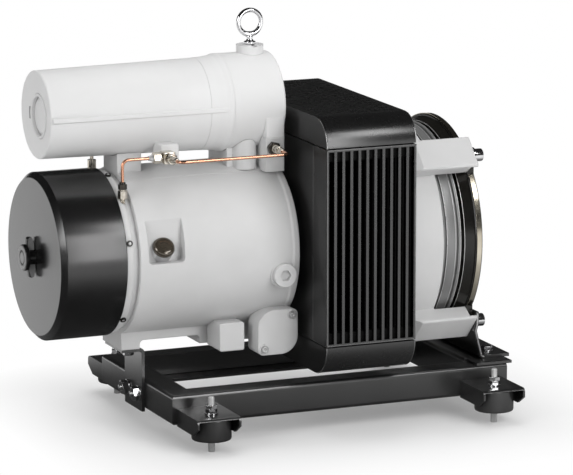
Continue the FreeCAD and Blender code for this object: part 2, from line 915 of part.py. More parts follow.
support_bolts = []
for side in (-1, 1):
    y = side * seat_bolt_y
    seat = casing_foot_under - d.support_steel
    head = hexagon("-z", d.support_bolt_flats, d.support_bolt_head, (seat_bolt_x, y, seat))
    shank = cylinder("+z", d.support_bolt_radius, 3 * d.support_steel, (seat_bolt_x, y, seat))
    support_bolts.append(fuse(head, shank))
    web_face = rail_left - d.support_steel
    tail = cylinder("-x", d.support_bolt_radius, d.support_bolt_stick + d.support_steel + d.rail_steel,
                    (rail_left + d.rail_steel, y, web_bolt_z))
    washer = cylinder("-x", d.support_washer_radius, d.support_bolt_head / 4, (web_face, y, web_bolt_z))
    nut = hexagon("-x", d.support_bolt_flats, d.support_bolt_head * 2, (web_face, y, web_bolt_z))
    inner_head = hexagon("+x", d.support_bolt_flats, d.support_bolt_head,
                         (rail_left + d.rail_steel, y, web_bolt_z))
    support_bolts.append(fuse(tail, washer, nut, inner_head))
    y = side * ledge_bolt_y
    head = hexagon("+z", d.support_bolt_flats, d.support_bolt_head,
                   (ledge_bolt_x, y, ledge_top + d.support_steel))
    shank = cylinder("-z", d.support_bolt_radius, 4 * d.support_steel,
                     (ledge_bolt_x, y, ledge_top + d.support_steel))
    nut = hexagon("-z", d.support_bolt_flats, d.support_bolt_head, (ledge_bolt_x, y, rail_top))
    support_bolts.append(fuse(head, shank, nut))
group("support_bolts", support_bolts)

# Main casing: turned barrel with its end wall and inner tube, then base, pedestals, bosses and pocket

casing = body("main_casing", (0, 0, d.shaft_height))
inner_radius = d.casing_radius - d.casing_wall
flare_radius = d.casing_radius + d.casing_flare
flare_left = casing_right - d.casing_flare_length
revolve(casing, [
    (-d.casing_left, inner_radius),
    (-d.casing_left, d.casing_radius),
    (flare_left, d.casing_radius),
    (flare_left + 2 * d.casing_flare, flare_radius),
    (casing_right, flare_radius, d.casing_flare),
    (casing_right, d.casing_neck_radius),
    (cooler_left, d.casing_neck_radius),
    (cooler_left, d.seal_radius),
    (wall_inside, d.seal_radius),
    (wall_inside, d.boss_tube_bore),
    (end_plates_right, d.boss_tube_bore),
    (end_plates_right, d.stator_radius),
    (wall_inside, d.stator_radius),
    (wall_inside, inner_radius, d.casing_wall / 2)])

band = casing.newObject("PartDesign::Revolution", "Band")
band_sketch = sketch_on(casing, "XZ_Plane", 0, [[
    (-d.casing_left + 2 * d.casing_flare, inner_radius + d.casing_wall / 2),
    (flare_left - 2 * d.casing_flare, inner_radius + d.casing_wall / 2),
    (flare_left - 2 * d.casing_flare, d.casing_radius + d.band_height),
    (-d.casing_left + 2 * d.casing_flare, d.casing_radius + d.band_height)]])
band.Profile = band_sketch
band.ReferenceAxis = (band_sketch, ["H_Axis"])
bind(band, "Angle", 2 * d.band_half_angle)
band.Midplane = True

base_low = -d.casing_radius - d.casing_base_under
base_high = -inner_radius - d.casing_wall / 4
recess_left = -d.casing_left + d.casing_foot_length
pad(casing, "XZ_Plane", -d.casing_base_half, 2 * d.casing_base_half, [
    (-d.casing_left, base_low),
    (recess_left, base_low),
    (recess_left, base_low + d.casing_recess_height, d.casing_recess_height / 2),
    (recess_left + d.casing_recess_length, base_low + d.casing_recess_height, d.casing_recess_height / 2),
    (recess_left + d.casing_recess_length, base_low),
    (casing_right, base_low),
    (casing_right, base_high),
    (-d.casing_left, base_high)])

saddle_inside = inner_radius + d.casing_wall / 3
taper = (d.separator_radius_right - d.separator_radius_left) / (head_left - separator_left)
pedestal_left_end = -d.casing_left + d.pedestal_left_length
pedestal_radius = d.separator_radius_left + taper * (pedestal_left_end - separator_left)
head_saddle = d.separator_head_radius + d.seat_gap
pad(casing, "YZ_Plane", -d.casing_left, d.pedestal_left_length,
    rectangle(-d.pedestal_left_half, saddle_inside, d.pedestal_left_half, d.separator_above_shaft))
pad(casing, "YZ_Plane", casing_right - d.pedestal_right_length, d.pedestal_right_length,
    rectangle(-d.pedestal_right_half, saddle_inside, d.pedestal_right_half, d.separator_above_shaft))
pad(casing, "XY_Plane", saddle_inside, d.separator_above_shaft - saddle_inside,
    (casing_right - d.pedestal_boss_from_right, -d.pedestal_right_half, d.pedestal_boss_radius))
block_right = casing_right - d.block_from_right + d.block_length
block_top = d.pipe_run_above_shaft + d.block_above_pipe
pad(casing, "XZ_Plane", 0, d.block_face,
    rectangle(casing_right - d.block_from_right, d.block_low, block_right, block_top))
pocket(casing, "YZ_Plane", -d.casing_left - d.casing_wall, d.pedestal_left_length + 2 * d.casing_wall,
       (0, d.separator_above_shaft, pedestal_radius + d.seat_gap))
pocket(casing, "YZ_Plane", head_left - d.casing_wall, d.separator_head_length + 2 * d.casing_wall,
       (0, d.separator_above_shaft, head_saddle))
passage_x = casing_right - d.air_passage_from_right
pocket(casing, "XY_Plane", inner_radius - d.casing_wall, d.separator_above_shaft - inner_radius,
       (passage_x, 0, d.air_passage_radius))

pocket_left = -d.casing_left + d.pocket_left
pocket_right = pocket_left + d.pocket_length
pocket_margin = d.pocket_corner
glass_x = -d.casing_left + d.sight_from_left
inner_floor = d.pocket_floor - d.casing_wall + 2
backing_top = root(d.casing_radius * d.casing_radius
                   - (inner_radius + 2) * (inner_radius + 2))
pad(casing, "XZ_Plane", inner_floor, inner_radius + 2 - inner_floor,
    rectangle(pocket_left - pocket_margin, d.pocket_low - pocket_margin,
              pocket_right + pocket_margin, backing_top - 4))
pocket(casing, "XZ_Plane", d.pocket_floor, d.casing_wall * 2,
       rectangle(pocket_left, d.pocket_low, pocket_right, d.pocket_low + d.pocket_height, d.pocket_corner))
pocket(casing, "XZ_Plane", inner_floor - d.casing_wall, d.casing_wall * 3,
       (glass_x, d.sight_above_shaft, d.sight_bore + d.running_gap))

filler_x = casing_right - d.filler_from_right
filler_boss_inside = inner_radius - 2
pad(casing, "XZ_Plane", filler_boss_inside, d.filler_boss_face - filler_boss_inside,
    (filler_x, -d.filler_below_shaft, d.filler_boss_radius))
pocket(casing, "XZ_Plane", inner_floor, d.casing_wall * 3,
       (filler_x, -d.filler_below_shaft, d.filler_thread + d.running_gap))

box_left = -d.casing_left + d.box_boss_from_left
box_inside = root(inner_radius * inner_radius - d.box_boss_high * d.box_boss_high) + 2
pad(casing, "XZ_Plane", box_inside, d.box_boss_face - box_inside,
    rectangle(box_left, -d.box_boss_low, box_left + d.box_boss_length, -d.box_boss_high, 4))

leaf_left = casing_right - d.leaf_from_right
leaf_right = leaf_left + d.leaf_length


def leaf(part, depth, length):
    """The leaf outline: two large and two small corners, in turn."""
    pad(part, "XZ_Plane", depth, length, [
        (leaf_left, -d.leaf_low, d.leaf_small_radius),
        (leaf_right, -d.leaf_low, d.leaf_large_radius),
        (leaf_right, -d.leaf_high, d.leaf_small_radius),
        (leaf_left, -d.leaf_high, d.leaf_large_radius)])


leaf(casing, d.leaf_inner, d.leaf_face - d.leaf_cover - d.leaf_inner)
leaf_screws = ((leaf_left + d.leaf_screw_inset, -d.leaf_low + d.leaf_screw_inset),
               (leaf_right - d.leaf_screw_inset, -d.leaf_high - d.leaf_screw_inset))
leaf_screw_deep = d.leaf_face - 2 * d.leaf_cover
pocket(casing, "XZ_Plane", leaf_screw_deep, d.leaf_cover,
       *[(x, z, d.leaf_screw_radius + d.running_gap) for x, z in leaf_screws])
pocket(casing, "XY_Plane", base_low - d.casing_wall, d.casing_wall * 2,
       *[(seat_bolt_x, side * seat_bolt_y, bolt_hole) for side in (-1, 1)])

side_cover = body("side_cover", (0, 0, d.shaft_height))
leaf(side_cover, d.leaf_face - d.leaf_cover, d.leaf_cover)
pocket(side_cover, "XZ_Plane", d.leaf_face - 2 * d.leaf_cover, d.leaf_cover * 3,
       *[(x, z, d.leaf_screw_radius + d.seat_gap) for x, z in leaf_screws])
side_screws = []
for x, z in leaf_screws:
    z = z + d.shaft_height
    head = cylinder("-y", d.leaf_screw_head, d.leaf_screw_head, (x, -d.leaf_face, z))
    shank = cylinder("+y", d.leaf_screw_radius, 2 * d.leaf_cover, (x, -d.leaf_face, z))
    socket = hexagon("-y", d.leaf_screw_radius * 5 / 3, d.leaf_screw_head,
                     (x, -d.leaf_face - d.leaf_screw_head / 2, z))
    side_screws.append(cut(fuse(head, shank), socket))
group("side_cover_screws", side_screws)

# Sight glass: a threaded ring with a domed lens

glass_at = (glass_x, 0, d.shaft_height + d.sight_above_shaft)
ring_face = d.pocket_floor + d.sight_proud
lens_seat = d.pocket_floor + d.sight_proud / 4
turned("sight_glass_ring", [
    (inner_floor, d.sight_bore - 3),
    (inner_floor, d.sight_bore),
    (d.pocket_floor, d.sight_bore),
    (d.pocket_floor, d.sight_radius),
    (ring_face, d.sight_radius, 2),
    (ring_face, d.sight_bore + 1),
    (lens_seat, d.sight_bore + 1),
    (lens_seat, d.sight_bore - 3)], direction="-y", at=glass_at)
turned("sight_glass_lens", [
    (lens_seat, 0),
    (ring_face + 3, 0),
    (ring_face + 2, d.sight_bore * 0.5, 12),
    (ring_face - 2, d.sight_bore + 1 - d.running_gap),
    (lens_seat, d.sight_bore + 1 - d.running_gap)], direction="-y", at=glass_at)

# Oil filler plug with its hexagon socket

filler_at = (filler_x, 0, d.shaft_height - d.filler_below_shaft)
filler_plug = turned("oil_filler_plug", [
    (filler_boss_inside, 0),
    (filler_boss_inside, d.filler_thread),
    (d.filler_boss_face + d.seat_gap, d.filler_thread),
    (d.filler_boss_face + d.seat_gap, d.filler_radius),
    (d.filler_boss_face + d.filler_head, d.filler_radius, 1.5),
    (d.filler_boss_face + d.filler_head, 0)], direction="-y", at=filler_at)


def hexagon_points(flats, x=0, y=0):
    """The six corners of a hexagon socket as an outline."""
    reach = flats / math.sqrt(3)
    half = flats / 2
    return [(x + reach, y), (x + reach / 2, y + half), (x - reach / 2, y + half),
            (x - reach, y), (x - reach / 2, y - half), (x + reach / 2, y - half)]


pocket(filler_plug, "YZ_Plane", d.filler_boss_face + d.filler_head - d.filler_socket_depth,
       d.filler_socket_depth * 2, hexagon_points(d.filler_socket_flats))

# Intake end cover: rim, groove, filter spigot, port with a spider, valve chamber and pump boss

intake = turned("intake_cover", [
    (port_left, d.intake_port_radius),
    (port_left, d.cover_radius - d.cover_steel - d.seat_gap),
    (rim_left, d.cover_radius - d.cover_steel - d.seat_gap),
    (rim_left, d.rim_radius),
    (rim_right, d.rim_radius),
    (rim_right, d.groove_radius, 4),
    (-d.casing_left, d.groove_radius),
    (-d.casing_left, d.intake_boss_radius),
    (stator_left - d.end_plate, d.intake_boss_radius),
    (stator_left - d.end_plate, d.guide_radius),
    (intake_floor_left, d.guide_radius),
    (intake_floor_left, d.intake_chamber_radius),
    (valve_seat, d.intake_chamber_radius),
    (valve_seat, d.intake_port_radius)])
pad(intake, "YZ_Plane", port_left, d.spider_steel,
    rectangle(-d.spider_width / 2, -d.intake_port_radius - 2, d.spider_width / 2, d.intake_port_radius + 2))
pad(intake, "YZ_Plane", port_left, d.spider_steel, (0, 0, d.spider_hub))
pocket(intake, "YZ_Plane", port_left - d.spider_steel, d.spider_steel * 3, (0, 0, d.guide_radius))
transfer_holes = []
for side in (-1, 0, 1):
    angle = math.radians(d.transfer_turn.value * side)
    transfer_holes.append((d.transfer_height * math.sin(angle), d.transfer_height * math.cos(angle),
                           d.transfer_radius))
pocket(intake, "YZ_Plane", intake_floor_left - 1, d.intake_floor * 2, *transfer_holes)
screw_count = int(d.cover_screw_count.value)
screw_seat = d.rim_radius + d.cover_screw_proud - d.cover_screw_head
screw_x = rim_left + d.rim_width / 2
elbow_x = rim_left + d.elbow_flats / math.sqrt(3) + 2 * d.seat_gap
elbow_seat = d.elbow_low + 3
pocket(intake, "XY_Plane", elbow_seat, d.rim_radius, (elbow_x, -d.pipe_across, d.elbow_flats / 2 + 2))
shank_bore = d.fitting_shank_radius + d.running_gap
pocket(intake, "XY_Plane", elbow_seat - d.elbow_flats, d.rim_radius,
       (elbow_x, -d.pipe_across, shank_bore))
control_x = rim_left + d.control_fitting_radius + 2 * d.seat_gap
control_seat = root(d.rim_radius * d.rim_radius - d.control_fitting_across * d.control_fitting_across) + 2
pocket(intake, "XY_Plane", control_seat - d.control_shank - 2, d.rim_radius,
       (control_x, d.control_fitting_across, shank_bore))
pocket(intake, "XY_Plane", control_seat, d.rim_radius,
       (control_x, d.control_fitting_across, d.control_fitting_radius + d.seat_gap))

rim_screws = []
for number in range(screw_count):
    angle = math.radians(d.cover_screw_turn.value + 360 / screw_count * number)
    out_y, out_z = -math.cos(angle), math.sin(angle)
    tilt = FreeCAD.Rotation(FreeCAD.Vector(0, 0, 1), FreeCAD.Vector(0, out_y, out_z))
    seat_at = (screw_x, out_y * screw_seat, d.shaft_height + out_z * screw_seat)
    socket_seat = screw_seat + d.cover_screw_head / 2
    socket_at = (screw_x, out_y * socket_seat, d.shaft_height + out_z * socket_seat)
    hole = cylinder("+z", d.cover_screw_head_radius + d.running_gap, d.cover_screw_head * 2, (0, 0, 0))
    place(hole, seat_at, tilt)
    head = cylinder("+z", d.cover_screw_head_radius, d.cover_screw_head, (0, 0, 0))
    place(head, seat_at, tilt)
    socket = hexagon("+z", d.cover_screw_head_radius, d.cover_screw_head, (0, 0, 0))
    place(socket, socket_at, tilt)
    rim_screws.append((cut(head, socket), hole))
kept.remove(intake)
intake_drilled = cut(intake, *[hole for screw, hole in rim_screws])
intake.Label = "intake_cover_blank"
keep(intake_drilled, "intake_cover")
group("cover_screws", [screw for screw, hole in rim_screws])

# Filter: stepped stud through the port, cartridge, round cover and its knob

stud_left = cover_face - d.filter_stud_grip
turned("filter_stud", [
    (stud_left, 0),
    (stud_left, d.filter_stud_radius),
    (port_left - d.spider_steel / 2, d.filter_stud_radius),
    (port_left - d.spider_steel / 2, d.guide_radius - d.running_gap),
    (stator_left - d.end_plate - 1, d.guide_radius - d.running_gap),
    (stator_left - d.end_plate - 1, 0)])
cartridge_left = port_left - d.cartridge_length
turned("filter_cartridge", [
    (cartridge_left, d.filter_stud_radius + d.seat_gap),
    (cartridge_left, d.cartridge_radius, 4),
    (port_left, d.cartridge_radius),
    (port_left, d.cartridge_bore),
    (cartridge_left + d.cartridge_cap, d.cartridge_bore),
    (cartridge_left + d.cartridge_cap, d.filter_stud_radius + d.seat_gap)])
turned("filter_cover", [
    (cover_face, d.filter_stud_radius + d.seat_gap),
    (cover_face, d.cover_radius, d.cover_edge),
    (rim_left - d.seat_gap, d.cover_radius),
    (rim_left - d.seat_gap, d.cover_radius - d.cover_steel),
    (cover_face + d.cover_steel, d.cover_radius - d.cover_steel, d.cover_edge - d.cover_steel),
    (cover_face + d.cover_steel, d.filter_stud_radius + d.seat_gap)])

knob_right = cover_face - d.seat_gap
knob_disc_right = knob_right - d.knob_hub_length
knob = turned("cover_knob", [
    (knob_right, d.filter_stud_radius + d.seat_gap),
    (knob_right, d.knob_hub_radius),
    (knob_disc_right, d.knob_hub_radius, 3),
    (knob_disc_right, d.knob_disc_radius),
    (knob_disc_right - d.knob_disc, d.knob_disc_radius, 3),
    (knob_disc_right - d.knob_disc, 0),
    (stud_left - 2, 0),
    (stud_left - 2, d.filter_stud_radius + d.seat_gap)])
wing_half = d.knob_wing_width / 2
pad(knob, "YZ_Plane", knob_right - d.knob_wing_gap - d.knob_wing, d.knob_wing,
    rectangle(-wing_half, -d.knob_wing_reach, wing_half, d.knob_wing_reach, d.knob_wing_width / 3))
pocket(knob, "YZ_Plane", stud_left - 1, knob_right - stud_left + 2,
       (0, 0, d.filter_stud_radius + d.seat_gap))

# Intake valve: a plate that slides on the stud, and its spring

plate_left = valve_seat + d.seat_gap
turned("intake_valve_plate", rectangle(plate_left, d.guide_radius + d.running_gap,
                                       plate_left + d.valve_plate_steel, d.valve_plate_radius))


def spring(label, direction, start, length, radius, wire, turns, at):
    """A round-wire compression spring in short straight facets, between two flat seats."""
    facets = int(d.spring_facets.value)
    height = (length - wire).value
    points = []
    for number in range(turns * facets + 1):
        angle = 2 * math.pi * number / facets
        points.append(FreeCAD.Vector(radius.value * math.cos(angle), radius.value * math.sin(angle),
                                     wire.value / 2 + height * number / (turns * facets)))
    path = Part.makePolygon(points)
    along = points[1] - points[0]
    section = Part.Wire(Part.Circle(points[0], along, wire.value / 2).toShape())
    coil = doc.addObject("Part::Feature", "Spring")
    coil.Shape = path.makePipeShell([section], True, False, 1)
    offset = STAND[direction].multVec(FreeCAD.Vector(0, 0, 1))
    place(coil, tuple(size_of(spot) + start * part for spot, part in zip(at, offset)), STAND[direction])
    return keep(coil, label)


spring("intake_valve_spring", "+x", plate_left + d.valve_plate_steel,
       intake_floor_left - plate_left - d.valve_plate_steel,
       d.valve_spring_radius, d.valve_spring_wire, 3, (0, 0, d.shaft_height))

control_low = d.shaft_height + control_seat
control_body = cylinder("+z", d.control_fitting_radius, d.control_fitting_body,
                        (control_x, d.control_fitting_across, control_low))
control_shank = cylinder("-z", d.fitting_shank_radius, d.control_shank,
                         (control_x, d.control_fitting_across, control_low))
control_pins = []
for side in (-1, 1):
    control_pins.append(cylinder("+z", d.control_pin_radius, d.control_pin,
                                 (control_x, d.control_fitting_across + side * d.control_fitting_radius / 2,
                                  control_low + d.control_fitting_body)))
keep(fuse(control_body, control_shank, *control_pins), "control_fitting")

# Pump: stator with an offset bore, end plates with bushes, slotted rotor, vanes and shaft seal

stator = body("stator", (0, 0, d.shaft_height))
pad(stator, "YZ_Plane", stator_left, d.stator_length,
    (0, 0, d.stator_radius), (0, d.stator_offset, d.stator_bore))
delivery_pitch = d.stator_length / (d.delivery_count + 1)
delivery = pocket(stator, "XZ_Plane", 0, d.stator_radius + 2,
                  (stator_left + delivery_pitch, -d.stator_bore / 2, d.delivery_radius))
row(stator, delivery, d.delivery_count, delivery_pitch)

bush_radius = d.journal_radius + d.bush_wall
end_plate_left = body("end_plate_left", (0, 0, d.shaft_height))
pad(end_plate_left, "YZ_Plane", stator_left - d.end_plate, d.end_plate,
    (0, 0, d.stator_radius), (0, 0, bush_radius), *transfer_holes)
end_plate_right = body("end_plate_right", (0, 0, d.shaft_height))
pad(end_plate_right, "YZ_Plane", stator_right, d.end_plate,
    (0, 0, d.stator_radius), (0, 0, bush_radius))

bushes = []
for start in (stator_left - d.end_plate, stator_right):
    sleeve = cylinder("+x", bush_radius, d.end_plate, (start, 0, d.shaft_height))
    journal = cylinder("+x", d.journal_radius + d.running_gap, d.end_plate * 3,
                       (start - d.end_plate, 0, d.shaft_height))
    bushes.append(cut(sleeve, journal))
group("bearing_bushes", bushes)

rotor_left = stator_left + d.rotor_end_gap
rotor_right = stator_right - d.rotor_end_gap
rotor = turned("rotor_shaft", [
    (stator_left - d.end_plate + d.shaft_clearance, 0),
    (stator_left - d.end_plate + d.shaft_clearance, d.journal_radius, 1.5),
    (rotor_left, d.journal_radius),
    (rotor_left, d.rotor_radius),
    (rotor_right, d.rotor_radius),
    (rotor_right, d.journal_radius),
    (shaft_end, d.journal_radius, 1.5),
    (shaft_end, 0)])
slot_floor = d.rotor_radius - d.vane_depth
slot = pocket(rotor, "YZ_Plane", rotor_left - 1, rotor_right - rotor_left + 2,
              rectangle(-d.vane_width / 2, slot_floor, d.vane_width / 2, d.rotor_radius + 5))
around(rotor, slot, d.vane_count)

vanes = []
vane_half = d.vane_width / 2 - d.vane_side_gap
vane_total = int(d.vane_count.value)
for number in range(vane_total):
    turn = FreeCAD.Rotation(FreeCAD.Vector(1, 0, 0), 360 * number / vane_total)
    corner = turn.multVec(FreeCAD.Vector(0, -1, 0))
    rise = turn.multVec(FreeCAD.Vector(0, 0, 1))
    low = slot_floor + d.seat_gap
    vane = doc.addObject("Part::Box", "Vane")
    bind(vane, "Length", rotor_right - rotor_left)
    bind(vane, "Width", 2 * vane_half)
    bind(vane, "Height", d.vane_depth - 2 * d.seat_gap)
    place(vane, (rotor_left, vane_half * corner.y + low * rise.y,
                 d.shaft_height + vane_half * corner.z + low * rise.z), turn)
    vanes.append(vane)
group("vanes", vanes)

ring("shaft_seal", wall_inside, casing_right, d.seal_radius, d.journal_radius + d.running_gap)

# Separator: tapered cylinder with a cylindrical head, end plug, outlet boss and eyebolt boss

separator = body("separator_housing", (0, 0, separator_height))
separator_inside = d.separator_radius_left - d.separator_wall
end_inside = separator_left + d.separator_end_wall
head_inside = casing_right - d.casing_wall
revolve(separator, [
    (separator_left, 0),
    (separator_left, d.separator_radius_left, 3),
    (head_left, d.separator_radius_right),
    (head_left, d.separator_head_radius),
    (casing_right, d.separator_head_radius, 3),
    (casing_right, 0)])
eye_x = casing_right - d.eyebolt_from_right
eye_boss_top = d.separator_head_radius + d.eye_boss_height
pad(separator, "XY_Plane", separator_inside + 2, eye_boss_top - separator_inside - 2,
    (eye_x, 0, d.eye_boss_radius))
rib_height = d.separator_rib
for side in (-1, 1):
    start = d.separator_radius_left / 2 if side < 0 else -d.separator_radius_left - d.separator_rib_proud
    pad(separator, "XZ_Plane", start, d.separator_radius_left / 2 + d.separator_rib_proud,
        rectangle(separator_left + 3, -rib_height / 2, head_left + 1, rib_height / 2))
tee_x = -d.casing_left + d.tee_from_left
tee_low = d.pipe_run_above_shaft - d.separator_above_shaft - d.tee_boss_under
tee_boss_start = separator_inside * 3 / 4
pad(separator, "XZ_Plane", tee_boss_start, d.tee_face - tee_boss_start,
    rectangle(tee_x - d.tee_boss_length / 4, tee_low, tee_x + d.tee_boss_length * 3 / 4,
              tee_low + d.tee_boss_height, 3))
outlet_x = casing_right - d.outlet_from_right
pad(separator, "XZ_Plane", -d.outlet_boss_face, d.outlet_boss_face - separator_inside / 2,
    (outlet_x, 0, d.outlet_boss_radius))
head_block_low = block_top - d.separator_above_shaft
pad(separator, "XZ_Plane", separator_inside / 2, d.block_face - 0.5 - separator_inside / 2,
    rectangle(casing_right - d.block_from_right + 1, head_block_low, block_right,
              head_block_low + d.head_block_height))
groove(separator, [
    (end_inside, 0),
    (end_inside, separator_inside, 6),
    (head_inside, separator_inside, 6),
    (head_inside, 0)])
pocket(separator, "YZ_Plane", separator_left - 1, d.plug_recess_depth + 1,
       (-d.plug_across, 0, d.plug_recess_radius))
pocket(separator, "YZ_Plane", separator_left - 1, d.separator_end_wall + 2,
       (-d.plug_across, 0, d.plug_radius + d.seat_gap))
outlet_seat_start = separator_inside - d.outlet_seat_sunk
chamber_start = outlet_seat_start + d.outlet_seat
chamber_end = d.outlet_boss_face - d.outlet_thread
bridge_start = chamber_end - d.poppet_bridge
bridge_half = d.outlet_chamber_radius + 2
pocket(separator, "XZ_Plane", -chamber_start, d.outlet_seat + 2 * d.outlet_seat_sunk,
       (outlet_x, 0, d.outlet_seat_radius))
pocket(separator, "XZ_Plane", -chamber_end, chamber_end - chamber_start,
       (outlet_x, 0, d.outlet_chamber_radius))
pocket(separator, "XZ_Plane", -d.outlet_boss_face - 1, d.outlet_thread + 1,
       (outlet_x, 0, d.outlet_thread_radius))
pad(separator, "XZ_Plane", -chamber_end, d.poppet_bridge,
    rectangle(outlet_x - bridge_half, -d.poppet_bridge, outlet_x + bridge_half, d.poppet_bridge))
pocket(separator, "XY_Plane", -d.separator_head_radius - 2, d.separator_wall * 4,
       (passage_x, 0, d.air_passage_radius))
pocket(separator, "XY_Plane", eye_boss_top - d.eye_shank - 2, d.eye_shank + d.eye_boss_height,
       (eye_x, 0, d.eye_shank_radius + d.running_gap))
pocket(separator, "XZ_Plane", -d.eye_boss_radius - 1, 2 * d.eye_boss_radius + 2,
       rectangle(eye_x - d.eye_boss_notch / 2, eye_boss_top - d.eye_boss_notch_deep,
                 eye_x + d.eye_boss_notch / 2, eye_boss_top + 1))

plug_face = separator_left + d.plug_sunk
plug = turned("separator_plug", [
    (plug_face, 0),
    (plug_face, d.plug_radius, 2),
    (end_inside, d.plug_radius),
    (end_inside, 0)], at=(0, -d.plug_across, separator_height))
pocket(plug, "YZ_Plane", plug_face - 1, d.plug_notch + 1,
       rectangle(-d.plug_notch / 2, -d.plug_notch_reach, d.plug_notch / 2, d.plug_notch_reach))

cartridge_end = end_inside + d.separator_cartridge_length
turned("separator_cartridge", [
    (end_inside, d.separator_cartridge_bore),
    (end_inside, d.separator_cartridge_flange_radius),
    (end_inside + d.separator_cartridge_flange, d.separator_cartridge_flange_radius),
    (end_inside + d.separator_cartridge_flange, d.separator_cartridge_radius),
    (cartridge_end, d.separator_cartridge_radius),
    (cartridge_end, 0),
    (cartridge_end - d.separator_cartridge_flange, 0),
    (cartridge_end - d.separator_cartridge_flange, d.separator_cartridge_bore)],
    at=(0, 0, separator_height))

# Minimum pressure valve in the outlet boss

poppet_start = chamber_start + d.seat_gap
outlet_at = (outlet_x, 0, separator_height)
turned("pressure_valve_poppet", [
    (poppet_start, 0),
    (poppet_start, d.poppet_radius),
    (poppet_start + d.poppet_steel, d.poppet_radius),
    (poppet_start + d.poppet_steel, d.poppet_boss_radius),
    (poppet_start + d.poppet_steel + d.poppet_boss, d.poppet_boss_radius, 1),
    (poppet_start + d.poppet_steel + d.poppet_boss, 0)], direction="+y", at=outlet_at)
spring("pressure_valve_spring", "+y", poppet_start + d.poppet_steel,
       bridge_start - poppet_start - d.poppet_steel,
       d.poppet_spring_radius, d.poppet_spring_wire, 4, outlet_at)

# Lifting eyebolt

eye_at = (eye_x, 0, separator_height + eye_boss_top)
eye_collar = cylinder("+z", d.eye_collar_radius, d.eye_collar, (eye_at[0], 0, eye_at[2] + d.seat_gap))
eye_neck = cone("+z", d.eye_neck_radius, d.eye_wire, d.eye_height - d.eye_radius,
                (eye_at[0], 0, eye_at[2] + d.eye_collar))
eye_shank = cylinder("-z", d.eye_shank_radius, d.eye_shank, (eye_at[0], 0, eye_at[2] + 1))
eye_ring = doc.addObject("Part::Torus", "EyeRing")
bind(eye_ring, "Radius1", d.eye_radius)
bind(eye_ring, "Radius2", d.eye_wire)
place(eye_ring, (eye_at[0], 0, eye_at[2] + d.eye_height), STAND["+y"])
keep(fuse(eye_collar, eye_neck, eye_shank, eye_ring), "lifting_eyebolt")

# Pipework: elbow on the intake rim, first pipe, tee, second pipe, outlet fitting

pipe_height = d.shaft_height + d.pipe_run_above_shaft
elbow_bottom = d.shaft_height + elbow_seat
elbow_top = elbow_bottom + d.elbow_height
elbow_hex = hexagon("+z", d.elbow_flats, d.elbow_height, (elbow_x, -d.pipe_across, elbow_bottom))
elbow_shank = cylinder("-z", d.fitting_shank_radius, d.elbow_flats - 2,
                       (elbow_x, -d.pipe_across, elbow_bottom))
elbow_nut = hexagon("+z", d.elbow_nut_flats, d.elbow_nut, (elbow_x, -d.pipe_across, elbow_top))
elbow_bore = cylinder("+z", d.pipe_radius + d.running_gap, d.elbow_nut * 2,
                      (elbow_x, -d.pipe_across, elbow_top))
keep(cut(fuse(elbow_hex, elbow_shank, elbow_nut), elbow_bore), "elbow_fitting")


def pipe(label, role, offset, route, start_role, start_offset, start_centre):
    """A round tube along a route of straight runs and bends."""
    part = body(label)
    path = sketch_on(part, role, offset, [route], closed=False)
    section = sketch_on(part, start_role, start_offset, [
        start_centre + (d.pipe_radius,), start_centre + (d.pipe_radius - d.pipe_wall,)])
    sweep = part.newObject("PartDesign::AdditivePipe", "Tube")
    sweep.Profile = section
    sweep.Spine = (path, [f"Edge{number + 1}" for number in range(2 * len(route) - 3)])
    return part


tee_left = tee_x - d.tee_size / 2
nut_left = tee_left - d.pipe_nut
pipe("copper_pipe_left", "XZ_Plane", d.pipe_across, [
    (elbow_x, elbow_top),
    (elbow_x, pipe_height, d.pipe_bend),
    (tee_left, pipe_height)], "XY_Plane", elbow_top, (elbow_x, -d.pipe_across))

tee_front = -d.tee_face - d.tee_size
tee_half = d.tee_size / 2
tee_block = box((tee_left, tee_front, pipe_height - tee_half),
                (tee_x + tee_half, -d.tee_face, pipe_height + tee_half))
tee_side_nut = hexagon("-x", d.pipe_nut_flats, d.pipe_nut, (tee_left, -d.pipe_across, pipe_height))
tee_side_collar = cylinder("-x", d.pipe_collar_radius, d.pipe_collar,
                           (nut_left, -d.pipe_across, pipe_height))
tee_front_nut = hexagon("-y", d.pipe_nut_flats, d.tee_nut, (tee_x, tee_front, pipe_height))
tee_front_sleeve = cylinder("-y", d.tee_sleeve_radius, d.tee_sleeve,
                            (tee_x, tee_front - d.tee_nut, pipe_height))
side_bore = cylinder("-x", d.pipe_radius + d.running_gap, d.pipe_nut * 2,
                     (tee_left, -d.pipe_across, pipe_height))
front_bore = cylinder("-y", d.pipe_radius + d.running_gap, d.tee_nut * 3,
                      (tee_x, tee_front - d.tee_nut, pipe_height))
tee = fuse(tee_block, tee_side_nut, tee_side_collar, tee_front_nut, tee_front_sleeve)
keep(cut(tee, side_bore, front_bore), "tee_fitting")

outlet_pipe_x = casing_right - d.outlet_pipe_from_right
pipe("copper_pipe_right", "XY_Plane", pipe_height, [
    (tee_x, tee_front - d.tee_nut),
    (tee_x, -d.pipe_front, d.pipe_bend),
    (outlet_pipe_x, -d.pipe_front, d.pipe_bend),
    (outlet_pipe_x, -d.block_face - d.outlet_nut)],
    "XZ_Plane", -tee_front + d.tee_nut, (tee_x, pipe_height))

fitting_nut = hexagon("-y", d.outlet_nut_flats, d.outlet_nut, (outlet_pipe_x, -d.block_face, pipe_height))
fitting_body = cylinder("-y", d.outlet_body_radius, d.outlet_body,
                        (outlet_pipe_x, -d.block_face - d.outlet_nut, pipe_height))
fitting_bore = cylinder("-y", d.pipe_radius + d.running_gap, d.outlet_body * 2,
                        (outlet_pipe_x, -d.block_face - d.outlet_nut, pipe_height))
keep(cut(fuse(fitting_nut, fitting_body), fitting_bore), "outlet_fitting")

# Cooler: side plates, rounded covers, slotted grilles, two finned cores

